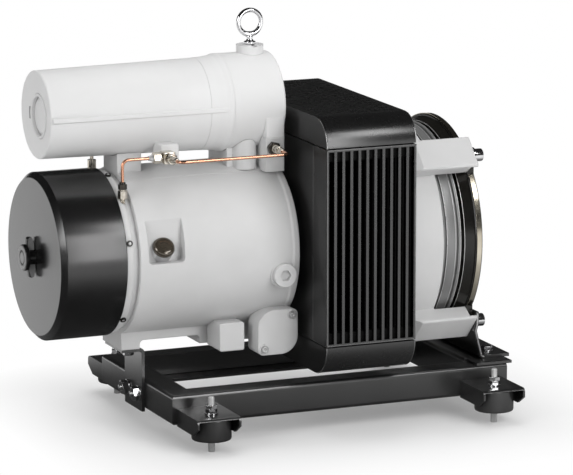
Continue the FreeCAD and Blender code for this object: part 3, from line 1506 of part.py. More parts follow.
seam_top = d.shaft_height + d.cooler_top_seam
seam_bottom = d.shaft_height - d.cooler_bottom_seam
cooler_top = d.shaft_height + d.cooler_top
cooler_bottom = d.shaft_height - d.cooler_bottom
frame_y = d.cooler_half_width - d.cooler_frame_depth

for label, start, hole in (("cooler_side_left", cooler_left, d.shaft_port_radius),
                           ("cooler_side_right", cooler_right - d.cooler_side_steel, d.fan_inlet_radius)):
    plate = body(label)
    pad(plate, "YZ_Plane", start, d.cooler_side_steel,
        rectangle(-frame_y, seam_bottom, frame_y, seam_top), (0, d.shaft_height, hole))

cooler_covers = (("cooler_top_cover", seam_top, cooler_top, d.cooler_top_radius),
                 ("cooler_bottom_cover", seam_bottom, cooler_bottom, d.cooler_bottom_radius))
for label, seam, edge, radius in cooler_covers:
    cover = body(label)
    sheet_steel = d.cooler_steel if label == "cooler_top_cover" else -d.cooler_steel
    half = d.cooler_half_width
    inner_half = half - d.cooler_steel
    pad(cover, "YZ_Plane", cooler_left, d.cooler_length, [
        (-half, seam), (-half, edge, radius), (half, edge, radius), (half, seam)])
    pocket(cover, "YZ_Plane", cooler_left + d.cooler_steel, d.cooler_length - 2 * d.cooler_steel, [
        (-inner_half, seam - sheet_steel),
        (-inner_half, edge - sheet_steel, radius - d.cooler_steel),
        (inner_half, edge - sheet_steel, radius - d.cooler_steel),
        (inner_half, seam - sheet_steel)])

slot_left = cooler_left + (d.cooler_length - d.grille_pitch * (d.grille_slots - 1) - d.grille_slot) / 2
for label, turn, shift in (("cooler_front_grille", FreeCAD.Rotation(), 1),
                           ("cooler_rear_grille", TURN["-x"], -1)):
    grille = body(label, (cooler_left + d.cooler_length / 2, 0, 0), turn)
    half = d.cooler_length / 2
    inner = half - d.cooler_steel
    outer_y = -d.cooler_half_width
    pad(grille, "XY_Plane", seam_bottom, seam_top - seam_bottom, [
        (-half, outer_y), (half, outer_y), (half, -frame_y), (inner, -frame_y),
        (inner, outer_y + d.cooler_steel), (-inner, outer_y + d.cooler_steel),
        (-inner, -frame_y), (-half, -frame_y)])
    first = slot_left - cooler_left - half
    grille_slot = pocket(grille, "XZ_Plane", d.cooler_half_width - 2 * d.cooler_steel, 3 * d.cooler_steel,
                         rectangle(first, seam_bottom + d.grille_margin, first + d.grille_slot,
                                   seam_top - d.grille_margin))
    row(grille, grille_slot, d.grille_slots, d.grille_pitch)

core_half = d.cooler_length / 2 - d.cooler_steel
core_low = seam_bottom + d.seat_gap
core_high = seam_top - d.seat_gap
core_front = -(d.cooler_half_width - d.core_from_front)
for label, turn in (("oil_cooler_core", FreeCAD.Rotation()), ("air_cooler_core", TURN["-x"])):
    core = body(label, (cooler_left + d.cooler_length / 2, 0, 0), turn)
    pad(core, "XY_Plane", core_low, d.core_tank,
        rectangle(-core_half, core_front, core_half, core_front + d.core_depth))
    pad(core, "XY_Plane", core_high - d.core_tank, d.core_tank,
        rectangle(-core_half, core_front, core_half, core_front + d.core_depth))
    tube_pitch = (2 * core_half - 2 * d.core_tube) / (d.core_tubes - 1)
    first = -core_half + d.core_tube / 2
    tube = pad(core, "XY_Plane", core_low + d.core_tank - 1, core_high - core_low - 2 * d.core_tank + 2,
               rectangle(first, core_front + 2, first + d.core_tube, core_front + d.core_depth - 2))
    row(core, tube, d.core_tubes, tube_pitch)

# Fan wheel on the shaft: hub, back plate, curved blades and a shroud ring

fan_right = fan_left + d.fan_width
fan = turned("fan_wheel", [
    (fan_left, d.journal_radius + d.running_gap),
    (fan_left, d.fan_radius),
    (fan_left + d.fan_steel, d.fan_radius),
    (fan_left + d.fan_steel, d.fan_hub_radius, d.fan_hub_round),
    (fan_left + d.fan_hub_length, d.fan_hub_radius),
    (fan_left + d.fan_hub_length, d.journal_radius + d.running_gap)])
blade_reach = d.fan_radius - d.fan_inner_radius
blade_sweep = math.radians(d.fan_blade_sweep.value)
blade_tip = (d.fan_radius - 2) * math.cos(blade_sweep)
blade_side = (d.fan_radius - 2) * math.sin(blade_sweep)
blade = pad(fan, "YZ_Plane", fan_left + d.fan_steel - 1, d.fan_width - 2 * d.fan_steel + 2, [
    (0, d.fan_inner_radius),
    (blade_side, blade_tip),
    (blade_side + d.fan_blade, blade_tip - d.fan_blade / 2),
    (d.fan_blade, d.fan_inner_radius)])
around(fan, blade, d.fan_blades)
revolve(fan, rectangle(fan_right - d.fan_steel, d.fan_inner_radius + blade_reach / 3,
                       fan_right, d.fan_radius))

# Bell housing: turned shell and four fingers at 45 degrees

bell = body("bell_housing", (0, 0, d.shaft_height), FreeCAD.Rotation(FreeCAD.Vector(1, 0, 0), 45))
shell_inside = d.bell_radius - d.bell_wall
revolve(bell, [
    (cooler_right, d.fan_inlet_radius),
    (cooler_right, d.bell_radius),
    (bell_right, d.bell_radius, 3),
    (bell_right, shell_inside),
    (cooler_right + d.bell_end_wall, shell_inside, d.bell_wall / 2),
    (cooler_right + d.bell_end_wall, d.fan_inlet_radius)])
finger_end = flange_plate_left
finger_inner = d.bell_radius
finger_base = d.finger_radius - d.finger_base_drop


def finger_section(low, high):
    """A finger's cross-section between two heights above the shaft, wider outside than inside."""
    spread = (d.finger_half_outer - d.finger_half_inner) / (d.finger_radius - d.bell_radius)
    low_half = d.finger_half_inner + spread * (low - d.bell_radius)
    high_half = d.finger_half_inner + spread * (high - d.bell_radius)
    return [(-low_half, low), (low_half, low), (high_half, high, 4), (-high_half, high, 4)]


finger_low = d.bell_radius - d.bell_wall / 3
finger = pad(bell, "YZ_Plane", cooler_right, bell_right - cooler_right,
             finger_section(finger_low, d.finger_radius))
around(bell, finger, 4)
arm = pad(bell, "YZ_Plane", bell_right - 1, finger_end - bell_right + 1,
          finger_section(finger_inner, d.finger_radius))
around(bell, arm, 4)
lip = pad(bell, "YZ_Plane", finger_end - 1, flange_face - finger_end,
          finger_section(d.finger_radius - d.finger_lip, d.finger_radius))
around(bell, lip, 4)
past_finger = d.finger_radius + d.bell_wall
slope = pocket(bell, "XZ_Plane", -2 * d.finger_half_outer, 4 * d.finger_half_outer, [
    (cooler_right - 1, finger_base),
    (cooler_right + d.finger_slope_start, finger_base + 3),
    (cooler_right + d.finger_slope_end, d.finger_radius),
    (cooler_right + d.finger_slope_end, past_finger),
    (cooler_right - 1, past_finger)])
around(bell, slope, 4)
tapped = pocket(bell, "YZ_Plane", finger_end - d.flange_screw_depth, d.flange_screw_depth + 1,
                (0, d.flange_screw_circle, d.flange_screw_radius + d.running_gap))
around(bell, tapped, 4)

# Stepped ring between the bell housing and the flange

step = d.stepped_ring_groove
turned("stepped_ring", [
    (bell_right, d.stepped_ring_bore),
    (bell_right, d.stepped_ring_radius),
    (bell_right + step, d.stepped_ring_radius),
    (bell_right + step, d.stepped_ring_land),
    (bell_right + 2 * step, d.stepped_ring_land),
    (bell_right + 2 * step, d.stepped_ring_radius - 2),
    (flange_left - 2 * step, d.stepped_ring_radius - 2),
    (flange_left - 2 * step, d.stepped_ring_land),
    (flange_left - step, d.stepped_ring_land),
    (flange_left - step, d.stepped_ring_radius - 1),
    (flange_left, d.stepped_ring_radius - 1),
    (flange_left, d.stepped_ring_bore)])

# Flange ring with four lugs, the motor's pilot bore and tapped holes

flange = body("flange_ring", (0, 0, d.shaft_height), FreeCAD.Rotation(FreeCAD.Vector(1, 0, 0), 45))
motor_face = flange_face + d.motor_land
revolve(flange, [
    (flange_left, d.stepped_ring_bore),
    (flange_left, d.flange_step_radius),
    (flange_left + d.flange_step, d.flange_step_radius),
    (flange_left + d.flange_step, d.flange_hub_radius - d.flange_step),
    (flange_plate_left, d.flange_hub_radius),
    (flange_plate_left, d.flange_plate_radius - 2),
    (flange_face, d.flange_plate_radius, 2),
    (flange_face, d.motor_land_radius),
    (motor_face, d.motor_land_radius),
    (motor_face, d.pilot_radius),
    (flange_plate_left, d.pilot_radius),
    (flange_plate_left, d.stepped_ring_bore)])
lug_low = d.flange_plate_radius - d.lug_sunk
lug = pad(flange, "YZ_Plane", flange_plate_left, d.flange_plate, [
    (-d.lug_half - d.lug_fillet, lug_low),
    (d.lug_half + d.lug_fillet, lug_low),
    (d.lug_half, lug_low + d.lug_fillet, 3),
    (d.lug_half, d.lug_radius, d.lug_round),
    (-d.lug_half, d.lug_radius, d.lug_round),
    (-d.lug_half, lug_low + d.lug_fillet, 3)])
around(flange, lug, 4)
screw_hole = pocket(flange, "YZ_Plane", flange_plate_left - 1, d.flange_plate + 2,
                    (0, d.flange_screw_circle, d.flange_screw_radius + d.seat_gap))
around(flange, screw_hole, 4)
motor_hole = pocket(flange, "YZ_Plane", flange_plate_left - 1, d.flange_plate + d.motor_land + 2,
                    (0, d.motor_bolt_circle, d.motor_bolt_radius))
around(flange, motor_hole, 4)

flange_screws = []
for side_y in (-1, 1):
    for side_z in (-1, 1):
        y = side_y * lug_line
        z = d.shaft_height + side_z * lug_line
        seat = support_right if side_z < 0 else flange_face
        plain_washer = cylinder("+x", d.washer_radius, d.washer, (seat, y, z))
        head = cylinder("+x", d.flange_screw_head_radius, d.flange_screw_head, (seat + d.washer, y, z))
        shank_length = seat + d.washer - finger_end + d.flange_screw_depth - 2
        shank = cylinder("-x", d.flange_screw_radius, shank_length, (seat + d.washer, y, z))
        socket = hexagon("+x", d.flange_screw_socket_flats, d.flange_screw_head,
                         (seat + d.washer + d.flange_screw_head / 2, y, z))
        flange_screws.append(cut(fuse(plain_washer, head, shank), socket))
group("flange_screws", flange_screws)

# Coupling hub on the shaft end, bored for the motor's shaft

coupling_left = coupling_right - d.coupling_length
turned("coupling_hub", [
    (coupling_left, d.journal_radius + d.running_gap),
    (coupling_left, d.coupling_radius, 2),
    (coupling_right, d.coupling_radius, 2),
    (coupling_right, d.motor_shaft_radius),
    (shaft_end + d.running_gap, d.motor_shaft_radius),
    (shaft_end + d.running_gap, d.journal_radius + d.running_gap)])

# Checks, then one file for each sub-part

doc.recompute()
for thing in doc.Objects:
    if "Invalid" in thing.State or "Error" in thing.State:
        raise RuntimeError(f"{thing.Name} in {thing.Label} did not compute")
for thing in doc.Objects:
    if thing.TypeId in ("PartDesign::Pocket", "PartDesign::Groove"):
        if thing.Shape.Volume > thing.BaseFeature.Shape.Volume - 1:
            raise RuntimeError(f"{thing.Name} in {thing.getParentGeoFeatureGroup().Label} removes nothing")
for part in kept:
    if part.Shape.isNull() or not part.Shape.isValid():
        raise RuntimeError(f"{part.Label} has no valid shape")
    part.Shape.exportStep(os.path.join("parts", part.Label + ".step"))
print(len(kept), "sub-parts written")
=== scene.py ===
import bpy
import bmesh
import json
import math
from mathutils import Matrix, Vector


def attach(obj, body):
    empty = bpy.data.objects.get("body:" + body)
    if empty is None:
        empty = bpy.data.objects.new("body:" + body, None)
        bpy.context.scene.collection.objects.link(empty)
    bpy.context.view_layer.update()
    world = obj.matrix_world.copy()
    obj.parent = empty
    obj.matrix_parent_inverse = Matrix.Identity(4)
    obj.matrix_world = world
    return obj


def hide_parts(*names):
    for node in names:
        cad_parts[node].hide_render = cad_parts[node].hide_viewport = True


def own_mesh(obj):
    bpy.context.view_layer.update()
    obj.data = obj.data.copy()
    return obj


# Rotary vane compressor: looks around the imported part. Shapes are given in millimetres, lamps and floor
# in metres.

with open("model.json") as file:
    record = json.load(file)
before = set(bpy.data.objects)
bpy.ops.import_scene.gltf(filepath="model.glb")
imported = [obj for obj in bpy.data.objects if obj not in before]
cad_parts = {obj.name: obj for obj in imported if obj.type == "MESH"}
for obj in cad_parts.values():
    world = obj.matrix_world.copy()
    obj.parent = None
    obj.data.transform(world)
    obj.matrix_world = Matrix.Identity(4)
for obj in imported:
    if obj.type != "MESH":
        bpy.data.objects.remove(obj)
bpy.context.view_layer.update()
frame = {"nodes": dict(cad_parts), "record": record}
NODES = frame["nodes"]
MM = 0.001

# Finishes are varied by noise: where its values are cut off for the colours and for the roughness

BEVEL_SAMPLES = 6
COLOUR_CUTS = (0.35, 0.65)
ROUGHNESS_CUTS = (0.3, 0.7)


class Graph:
    """The shader nodes of a material or of the world."""

    def __init__(self, owner):
        owner.use_nodes = True
        self.nodes = owner.node_tree.nodes
        self.links = owner.node_tree.links
        self.nodes.clear()

    def add(self, kind, inputs=None, output=0, operation=None):
        """A node whose inputs are values or sockets to link; gives one of its outputs."""
        node = self.nodes.new("ShaderNode" + kind)
        if operation:
            node.operation = operation
        for entry, value in (inputs or {}).items():
            if isinstance(value, bpy.types.NodeSocket):
                self.links.new(value, node.inputs[entry])
            else:
                node.inputs[entry].default_value = value
        return node.outputs[output] if node.outputs else None

    def math(self, operation, first, second):
        return self.add("Math", {0: first, 1: second}, operation=operation)

    def vector(self, operation, first, second=(0, 0, 0), output="Vector"):
        return self.add("VectorMath", {0: first, 1: second}, output, operation)

    def spread(self, value, start, end, low=0.0, high=1.0, smooth=False):
        """Maps start to low and end to high, and stays there outside."""
        result = self.add("MapRange", {"Value": value, "From Min": start, "From Max": end,
                                       "To Min": low, "To Max": high})
        if smooth:
            result.node.interpolation_type = "SMOOTHSTEP"
        return result


class Finish(Graph):
    """A principled material with varied colour and roughness, soft edges and a fine bump."""

    def __init__(self, name, roughness=0.4, metallic=0.0, edge=1.2, specular=0.5, coat=0.0,
                 coat_roughness=0.1):
        self.material = bpy.data.materials.new(name)
        super().__init__(self.material)
        self.shader = self.add("BsdfPrincipled", {
            "Roughness": roughness, "Metallic": metallic, "Specular IOR Level": specular,
            "Coat Weight": coat, "Coat Roughness": coat_roughness}).node
        self.add("OutputMaterial", {"Surface": self.shader.outputs["BSDF"]})
        self.place = self.add("TexCoord", output="Object")
        self.normal = None
        if edge:
            self.normal = self.add("Bevel", {"Radius": edge * MM})
            self.normal.node.samples = BEVEL_SAMPLES
            self.use(self.normal, "Normal")

    def use(self, socket, entry):
        self.links.new(socket, self.shader.inputs[entry])
        return self

    def noise(self, scale, detail, stretch=(1, 1, 1)):
        place = self.add("Mapping", {"Vector": self.place, "Scale": stretch})
        return self.add("TexNoise", {"Vector": place, "Scale": scale, "Detail": detail}, "Fac")

    def colours(self, dark, light, scale):
        ramp = self.add("ValToRGB", {"Fac": self.noise(scale, 3)})
        for element, position, colour in zip(ramp.node.color_ramp.elements, COLOUR_CUTS, (dark, light)):
            element.position = position
            element.color = (*colour, 1)
        return self.use(ramp, "Base Color")

    def roughness(self, low, high, scale, stretch=(1, 1, 1)):
        varied = self.spread(self.noise(scale, 4, stretch), *ROUGHNESS_CUTS, low, high)
        return self.use(varied, "Roughness")

    def bump(self, scale, height, strength):
        inputs = {"Strength": strength, "Distance": height * MM, "Height": self.noise(scale, 4)}
        if self.normal:
            inputs["Normal"] = self.normal
        self.normal = self.add("Bump", inputs)
        return self.use(self.normal, "Normal")


def grey(value):
    return (value, value, value)


# Finishes: one for each material slot of the part, and some for the detailed pieces only

FINISHES = {
    "casting_grey": Finish("paint_light_grey", edge=3.0, specular=0.4)
    .colours(grey(0.56), grey(0.60), 9).roughness(0.42, 0.54, 60).bump(420, 0.2, 0.12),
    "separator_white": Finish("paint_white", edge=3.0, specular=0.4)
    .colours(grey(0.67), grey(0.70), 9).roughness(0.40, 0.50, 60).bump(420, 0.2, 0.1),
    "cover_black": Finish("cover_black", edge=0.4, specular=0.7, coat=0.3, coat_roughness=0.16)
    .colours(grey(0.006), grey(0.009), 14).roughness(0.23, 0.25, 30),
    "cooler_black": Finish("powder_black", edge=0.0, specular=0.9, coat=0.4, coat_roughness=0.25)
    .colours(grey(0.005), grey(0.006), 20).roughness(0.27, 0.28, 30),
    "cooler_side": Finish("satin_black", edge=0.0, specular=0.25)
    .colours(grey(0.006), grey(0.008), 20).roughness(0.32, 0.36, 30),
    "frame_black": Finish("frame_black", edge=1.2, specular=1.0, coat=1.0, coat_roughness=0.22)
    .colours(grey(0.009), grey(0.012), 18).roughness(0.28, 0.34, 60),
    "flange_black": Finish("flange_black", 0.2, 0.3, edge=1.0, specular=0.6)
    .colours((0.010, 0.0095, 0.008), (0.017, 0.016, 0.0135), 12).roughness(0.16, 0.24, 60),
    # painted reflection: gold metal for a strip on the flange's black rim
    "rim_painted_gold": Finish("rim_painted_reflection", 0.2, 1.0, edge=0.5)
    .colours((0.56, 0.51, 0.41), (0.70, 0.65, 0.54), 20).roughness(0.14, 0.22, 60),
    # bright metal: the real tee collar and screw centres, and painted highlight on the support's and the
    # flange's edges
    "edge_bright": Finish("bright_edge", 0.3, 0.6, edge=0.0)
    .colours(grey(0.62), grey(0.74), 30).roughness(0.25, 0.35, 60),
    # painted highlight: steel for the beads along the cooler covers' end edges
    "edge_highlight_steel": Finish("edge_highlight_steel", 0.25, 1.0, edge=0.0)
    .colours(grey(0.45), grey(0.55), 30).roughness(0.22, 0.28, 60),
    # painted highlight: grey for the strips round the cooler grille
    "grille_highlight_grey": Finish("grille_highlight_grey", 0.3, 0.3, edge=0.0)
    .colours(grey(0.12), grey(0.16), 30).roughness(0.3, 0.4, 60),
    # painted reflection: a lighter grey for the knob's faces, in place of the floor mirrored in them
    "painted_sheen_grey": Finish("painted_sheen_grey", 0.4, 0.0, edge=0.4)
    .colours(grey(0.19), grey(0.23), 60).roughness(0.34, 0.42, 90),
    "inlay_light": Finish("satin_screw", 0.35, 0.5, edge=0.4)
    .colours(grey(0.55), grey(0.65), 60).roughness(0.28, 0.36, 90),
    "cap_olive": Finish("cap_olive", 0.12, 0.55, edge=0.0, specular=0.8, coat=0.6, coat_roughness=0.04)
    .colours((0.080, 0.066, 0.050), (0.110, 0.092, 0.070), 60).roughness(0.08, 0.14, 60),
    "buffer_rubber": Finish("rubber_black", edge=0.0, specular=1.0, coat=1.0, coat_roughness=0.25)
    .colours(grey(0.010), grey(0.016), 40).roughness(0.34, 0.42, 120),
    "knob_black": Finish("knob_black", edge=1.2, specular=0.5)
    .colours(grey(0.006), grey(0.010), 60).roughness(0.26, 0.34, 90),
    "fan_plastic": Finish("fan_black", edge=0.8, specular=0.4)
    .colours(grey(0.012), grey(0.022), 30).roughness(0.42, 0.56, 200).bump(900, 0.05, 0.3),
    "zinc_steel": Finish("zinc", 0.25, 1.0, edge=0.6)
    .colours((0.62, 0.63, 0.64), (0.80, 0.80, 0.79), 120).roughness(0.20, 0.36, 260).bump(900, 0.03, 0.3),
    "machined_steel": Finish("machined_steel", 0.25, 1.0, edge=0.5)
    .colours(grey(0.42), grey(0.56), 90).roughness(0.20, 0.34, 400, stretch=(12, 1, 1)).bump(700, 0.02, 0.3),
    "cast_iron": Finish("cast_iron", 0.5, 0.9, edge=0.8)
    .colours(grey(0.20), grey(0.30), 70).roughness(0.42, 0.6, 200).bump(500, 0.08, 0.4),
    "vane_iron": Finish("vane_iron", 0.35, 0.9, edge=0.3)
    .colours(grey(0.16), grey(0.24), 120).roughness(0.3, 0.4, 300).bump(900, 0.02, 0.2),
    "bearing_bronze": Finish("bronze", 0.3, 1.0, edge=0.4)
    .colours((0.50, 0.30, 0.12), (0.66, 0.42, 0.19), 90).roughness(0.25, 0.4, 300).bump(900, 0.02, 0.2),
    "seal_rubber": Finish("seal_rubber", edge=0.5, specular=0.4)
    .colours(grey(0.010), grey(0.020), 60).roughness(0.45, 0.6, 120).bump(900, 0.03, 0.3),
    "chrome_bright": Finish("chrome", 0.12, 1.0, edge=0.5)
    .colours((0.66, 0.66, 0.67), (0.78, 0.78, 0.79), 80).roughness(0.08, 0.16, 200).bump(900, 0.01, 0.2),
    "glass_dark": Finish("sight_glass", edge=0.0, specular=0.6, coat=1.0, coat_roughness=0.03)
    .colours((0.010, 0.011, 0.012), (0.035, 0.032, 0.026), 90).roughness(0.06, 0.12, 120),
    "filter_paper": Finish("filter_paper", edge=0.5, specular=0.2)
    .colours((0.62, 0.55, 0.40), (0.72, 0.66, 0.50), 200).roughness(0.8, 0.95, 300).bump(900, 0.1, 0.5),
    "separator_felt": Finish("wound_glass_fibre", edge=0.5, specular=0.2)
    .colours(grey(0.66), grey(0.78), 300).roughness(0.8, 0.95, 300).bump(900, 0.1, 0.5),
    "fitting_black": Finish("blackened_steel", 0.3, 0.9, edge=0.6)
    .colours((0.060, 0.054, 0.047), (0.11, 0.10, 0.088), 120).roughness(0.18, 0.26, 300),
    "fitting_nickel": Finish("nickel", 0.2, 1.0, edge=0.5)
    .colours((0.58, 0.53, 0.46), (0.72, 0.68, 0.60), 120).roughness(0.14, 0.22, 200),
    "copper_tube": Finish("copper", 0.2, 1.0, edge=0.0)
    .colours((0.72, 0.36, 0.23), (0.80, 0.44, 0.30), 60).roughness(0.20, 0.30, 200),
    "ring_grey": Finish("turned_ring", 0.3, 0.35, edge=0.6)
    .colours(grey(0.20), grey(0.24), 10).roughness(0.34, 0.42, 60),
    # painted shade: near black for the cooler cores, for the shade seen through the slots
    "core_aluminium": Finish("core_aluminium", 0.4, 0.8, edge=0.0)
    .colours(grey(0.003), grey(0.006), 200).roughness(0.6, 0.75, 200),
}

for part in frame["record"]["subparts"]:
    side_plate = part["node"].startswith("cooler_side")
    finish = FINISHES["cooler_side" if side_plate else part["material_slot"]]
    NODES[part["node"]].data.materials.clear()
    NODES[part["node"]].data.materials.append(finish.material)

# Building blocks. A direction has the axis that a piece runs along, and the two across it.

AXES = {
    "+x": (Vector((1, 0, 0)), Vector((0, 1, 0)), Vector((0, 0, 1))),
    "-x": (Vector((-1, 0, 0)), Vector((0, -1, 0)), Vector((0, 0, 1))),
    "+y": (Vector((0, 1, 0)), Vector((-1, 0, 0)), Vector((0, 0, 1))),
    "-y": (Vector((0, -1, 0)), Vector((1, 0, 0)), Vector((0, 0, 1))),
    "+z": (Vector((0, 0, 1)), Vector((1, 0, 0)), Vector((0, 1, 0))),
    "-z": (Vector((0, 0, -1)), Vector((-1, 0, 0)), Vector((0, 1, 0))),
}
TURN = 2 * math.pi
TINY = 1e-6
ALMOST_STRAIGHT = 1.55
FACE_SHARE = 0.97
SOCKET_DEPTH = 0.55
SOCKET_CHAMFER = 1.06
SOCKET_CONE = 0.2


def rounded(outline, steps=5):
    """The closed outline with an arc at each point that has a third value, its radius."""
    points = []
    for number, point in enumerate(outline):
        here = Vector(point[:2])
        before = (Vector(outline[number - 1][:2]) - here).normalized()
        after = (Vector(outline[(number + 1) % len(outline)][:2]) - here).normalized()
        radius = point[2] if len(point) > 2 else 0
        half = before.angle(after) / 2 if radius else 0
        if not radius or half > ALMOST_STRAIGHT:
            points.append(here)
            continue
        centre = here + (before + after).normalized() * (radius / math.sin(half))
        start = here + before * radius / math.tan(half) - centre
        end = here + after * radius / math.tan(half) - centre
        turn = start.angle_signed(end)
        for step in range(steps + 1):
            spun = start.copy()
            spun.rotate(Matrix.Rotation(-turn * step / steps, 2))
            points.append(centre + spun)
    return points


def hexagonal(flats, angle):
    """The radius of a hexagon at an angle."""
    return flats / 2 / math.cos((angle + math.pi / 6) % (math.pi / 3) - math.pi / 6)


def rectangle(low, high, corner):
    """The outline of a rectangle between two corners, with rounded corners."""
    return [(low[0], low[1], corner), (high[0], low[1], corner),
            (high[0], high[1], corner), (low[0], high[1], corner)]


class Shape:
    """Collects faces about a place and a direction, then becomes one piece."""

    def __init__(self):
        self.mesh = bmesh.new()

    def vertex(self, spot):
        return self.mesh.verts.new(Vector(spot) * MM)

    def point(self, at, direction, along, across, up):
        forward, side, top = AXES[direction]
        return self.vertex(Vector(at) + forward * along + side * across + top * up)

    def ring(self, along, radius, around, at, direction, turn=0.0):
        """A ring of points; the radius may be a function of the angle."""
        if not callable(radius) and radius < TINY:
            return [self.point(at, direction, along, 0, 0)] * around
        points = []
        for number in range(around):
            angle = TURN * number / around
            reach = radius(angle) if callable(radius) else radius
            points.append(self.point(at, direction, along, reach * math.cos(angle + turn),
                                     reach * math.sin(angle + turn)))
        return points

    def loft(self, rings, closed_ends=False, closed_rings=True):
        """Faces between rows of points; each row has the same count."""
        for first, second in zip(rings, rings[1:]):
            count = len(first)
            for number in range(count if closed_rings else count - 1):
                after = (number + 1) % count
                self.face([first[number], first[after], second[after], second[number]])
        if closed_ends:
            self.face(list(reversed(rings[0])))
            self.face(rings[-1])

    def face(self, corners):
        """A face, unless it has shrunk to a line or is there already."""
        kept = list(dict.fromkeys(corners))
        if len(kept) > 2:
            try:
                self.mesh.faces.new(kept)
            except ValueError:
                pass

    def turned(self, outline, at=(0, 0, 0), direction="+x", around=96, steps=5):
        """A closed outline of (along, radius) turned about the line through the place."""
        rings = [self.ring(along, radius, around, at, direction)
                 for along, radius in rounded(outline, steps)]
        self.loft(rings + [rings[0]])
        return self

    def washer(self, bore, radius, thick, at, direction, edges=(0.4, 0.6), around=40):
        return self.turned([(0, bore), (0, radius, edges[0]), (thick, radius, edges[1]), (thick, bore)],
                           at, direction, around)

    def prism(self, outline, start, end, at=(0, 0, 0), direction="+x", steps=5, edge=0.0):
        """An outline across a direction, run from start to end, with its end edges rounded."""
        profile = rounded(outline, steps)
        middle = sum(profile, Vector((0, 0))) / len(profile)
        levels = [(start, 0.0), (end, 0.0)]
        if edge:
            levels = [(start + edge - edge * math.sin(angle), edge - edge * math.cos(angle))
                      for angle in (math.pi / 2, math.pi / 3, math.pi / 6, 0)]
            levels += [(end - (along - start), inset) for along, inset in reversed(levels)]
        rings = []
        for along, inset in levels:
            shrunk = [spot + (middle - spot).normalized() * inset for spot in profile]
            rings.append([self.point(at, direction, along, spot.x, spot.y) for spot in shrunk])
        self.loft(rings, closed_ends=True)
        return self

    def hexagon(self, flats, start, end, at, direction, bore=0.0, turn=0.0):
        """A hexagon with 30 degree chamfers, with or without a bore."""
        around = 48
        start_turn = turn + math.pi / 6
        face_radius = flats / 2 * FACE_SHARE
        rings = []
        for end_along, sign in ((start, -1), (end, 1)):
            rim = []
            for number in range(around):
                angle = TURN * number / around
                radius = hexagonal(flats, angle + math.pi / 6)
                drop = max(0.0, radius - face_radius) * math.tan(math.pi / 6)
                rim.append(self.point(at, direction, end_along - sign * drop,
                                      radius * math.cos(angle + start_turn),
                                      radius * math.sin(angle + start_turn)))
            lip = self.ring(end_along, face_radius, around, at, direction, start_turn)
            hole = self.ring(end_along, bore, around, at, direction, start_turn)
            rings += [rim, lip, hole] if sign > 0 else [hole, lip, rim]
        self.loft(rings)
        if bore:
            self.loft([rings[-1], rings[0]])
        return self

    def thread(self, radius, start, end, at, direction, pitch=1.75, depth=0.9, around=24, ends=1.2):
        """A threaded rod: a ridge that climbs by its pitch each turn, chamfered at both ends."""
        steps = max(4, int((end - start) / pitch * 5))
        rings = [self.ring(start, 0, around, at, direction)]
        for step in range(steps + 1):
            along = start + (end - start) * step / steps
            cap = radius - max(0.0, ends - min(along - start, end - along))

            def ridge(angle):
                phase = (along / pitch - angle / TURN) % 1.0
                return min(radius - depth * (1 - abs(phase - 0.5) * 2), cap)

            rings.append(self.ring(along, ridge, around, at, direction))
        rings.append(self.ring(end, 0, around, at, direction))
        self.loft(rings)
        return self

    def socket_screw(self, head_radius, head, socket_flats, at, direction, start=0.0, knurl=0.25):
        """A cylindrical head, knurled up to its chamfer, with a hexagon socket."""
        around = 48
        bottom = head * (1 - SOCKET_DEPTH)

        def knurled(angle):
            return head_radius - (knurl if round(angle / TURN * around) % 2 else 0)

        def socket(angle):
            return hexagonal(socket_flats, angle)

        levels = ((0, 0), (0, knurled), (head * 0.88, head_radius), (head * 0.96, head_radius * 0.97),
                  (head, head_radius * 0.91), (head, socket_flats / math.sqrt(3) * SOCKET_CHAMFER),
                  (head - 0.5, socket), (bottom, socket), (bottom - socket_flats * SOCKET_CONE, 0))
        rings = [self.ring(start + along, radius, around, at, direction) for along, radius in levels]
        self.loft(rings)
        return self

    def tube(self, path, radius, around=16, closed=False):
        """A round bar along a line of points; the radius may be a function of the share of the way."""
        spots = [Vector(spot) for spot in path]
        count = len(spots)
        rings = []
        side = None
        for number, spot in enumerate(spots):
            ahead = spots[(number + 1) % count] if closed or number < count - 1 else spot
            behind = spots[number - 1] if closed or number else spot
            tangent = (ahead - behind).normalized()
            if side is None:
                side = tangent.orthogonal().normalized()
            side = (side - tangent * side.dot(tangent)).normalized()
            top = tangent.cross(side)
            reach = radius(number / (count - 1)) if callable(radius) else radius
            rings.append([self.vertex(spot + (side * math.cos(angle) + top * math.sin(angle)) * reach)
                          for angle in (TURN * step / around for step in range(around))])
        if closed:
            self.loft(rings + [rings[0]])
        else:
            self.loft(rings, closed_ends=True)
        return self

    def moved(self, matrix):
        """Moves everything collected so far by a matrix in metres."""
        bmesh.ops.transform(self.mesh, matrix=matrix, verts=self.mesh.verts)
        return self

    def join(self, other):
        """Takes over the faces of another shape."""
        carrier = bpy.data.meshes.new("carrier")
        other.mesh.to_mesh(carrier)
        other.mesh.free()
        self.mesh.from_mesh(carrier)
        bpy.data.meshes.remove(carrier)

    def finish(self, name, finish, body="machine", replaces=(), angle=32):
        bmesh.ops.recalc_face_normals(self.mesh, faces=self.mesh.faces)
        mesh = bpy.data.meshes.new(name)
        self.mesh.to_mesh(mesh)
        self.mesh.free()
        mesh.materials.append(FINISHES[finish].material)
        mesh.shade_smooth()
        mesh.set_sharp_from_angle(angle=math.radians(angle))
        piece = bpy.data.objects.new(name, mesh)
        bpy.context.scene.collection.objects.link(piece)
        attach(piece, body)
        if replaces:
            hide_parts(*replaces)
        return piece


# Places that the pieces share with the part

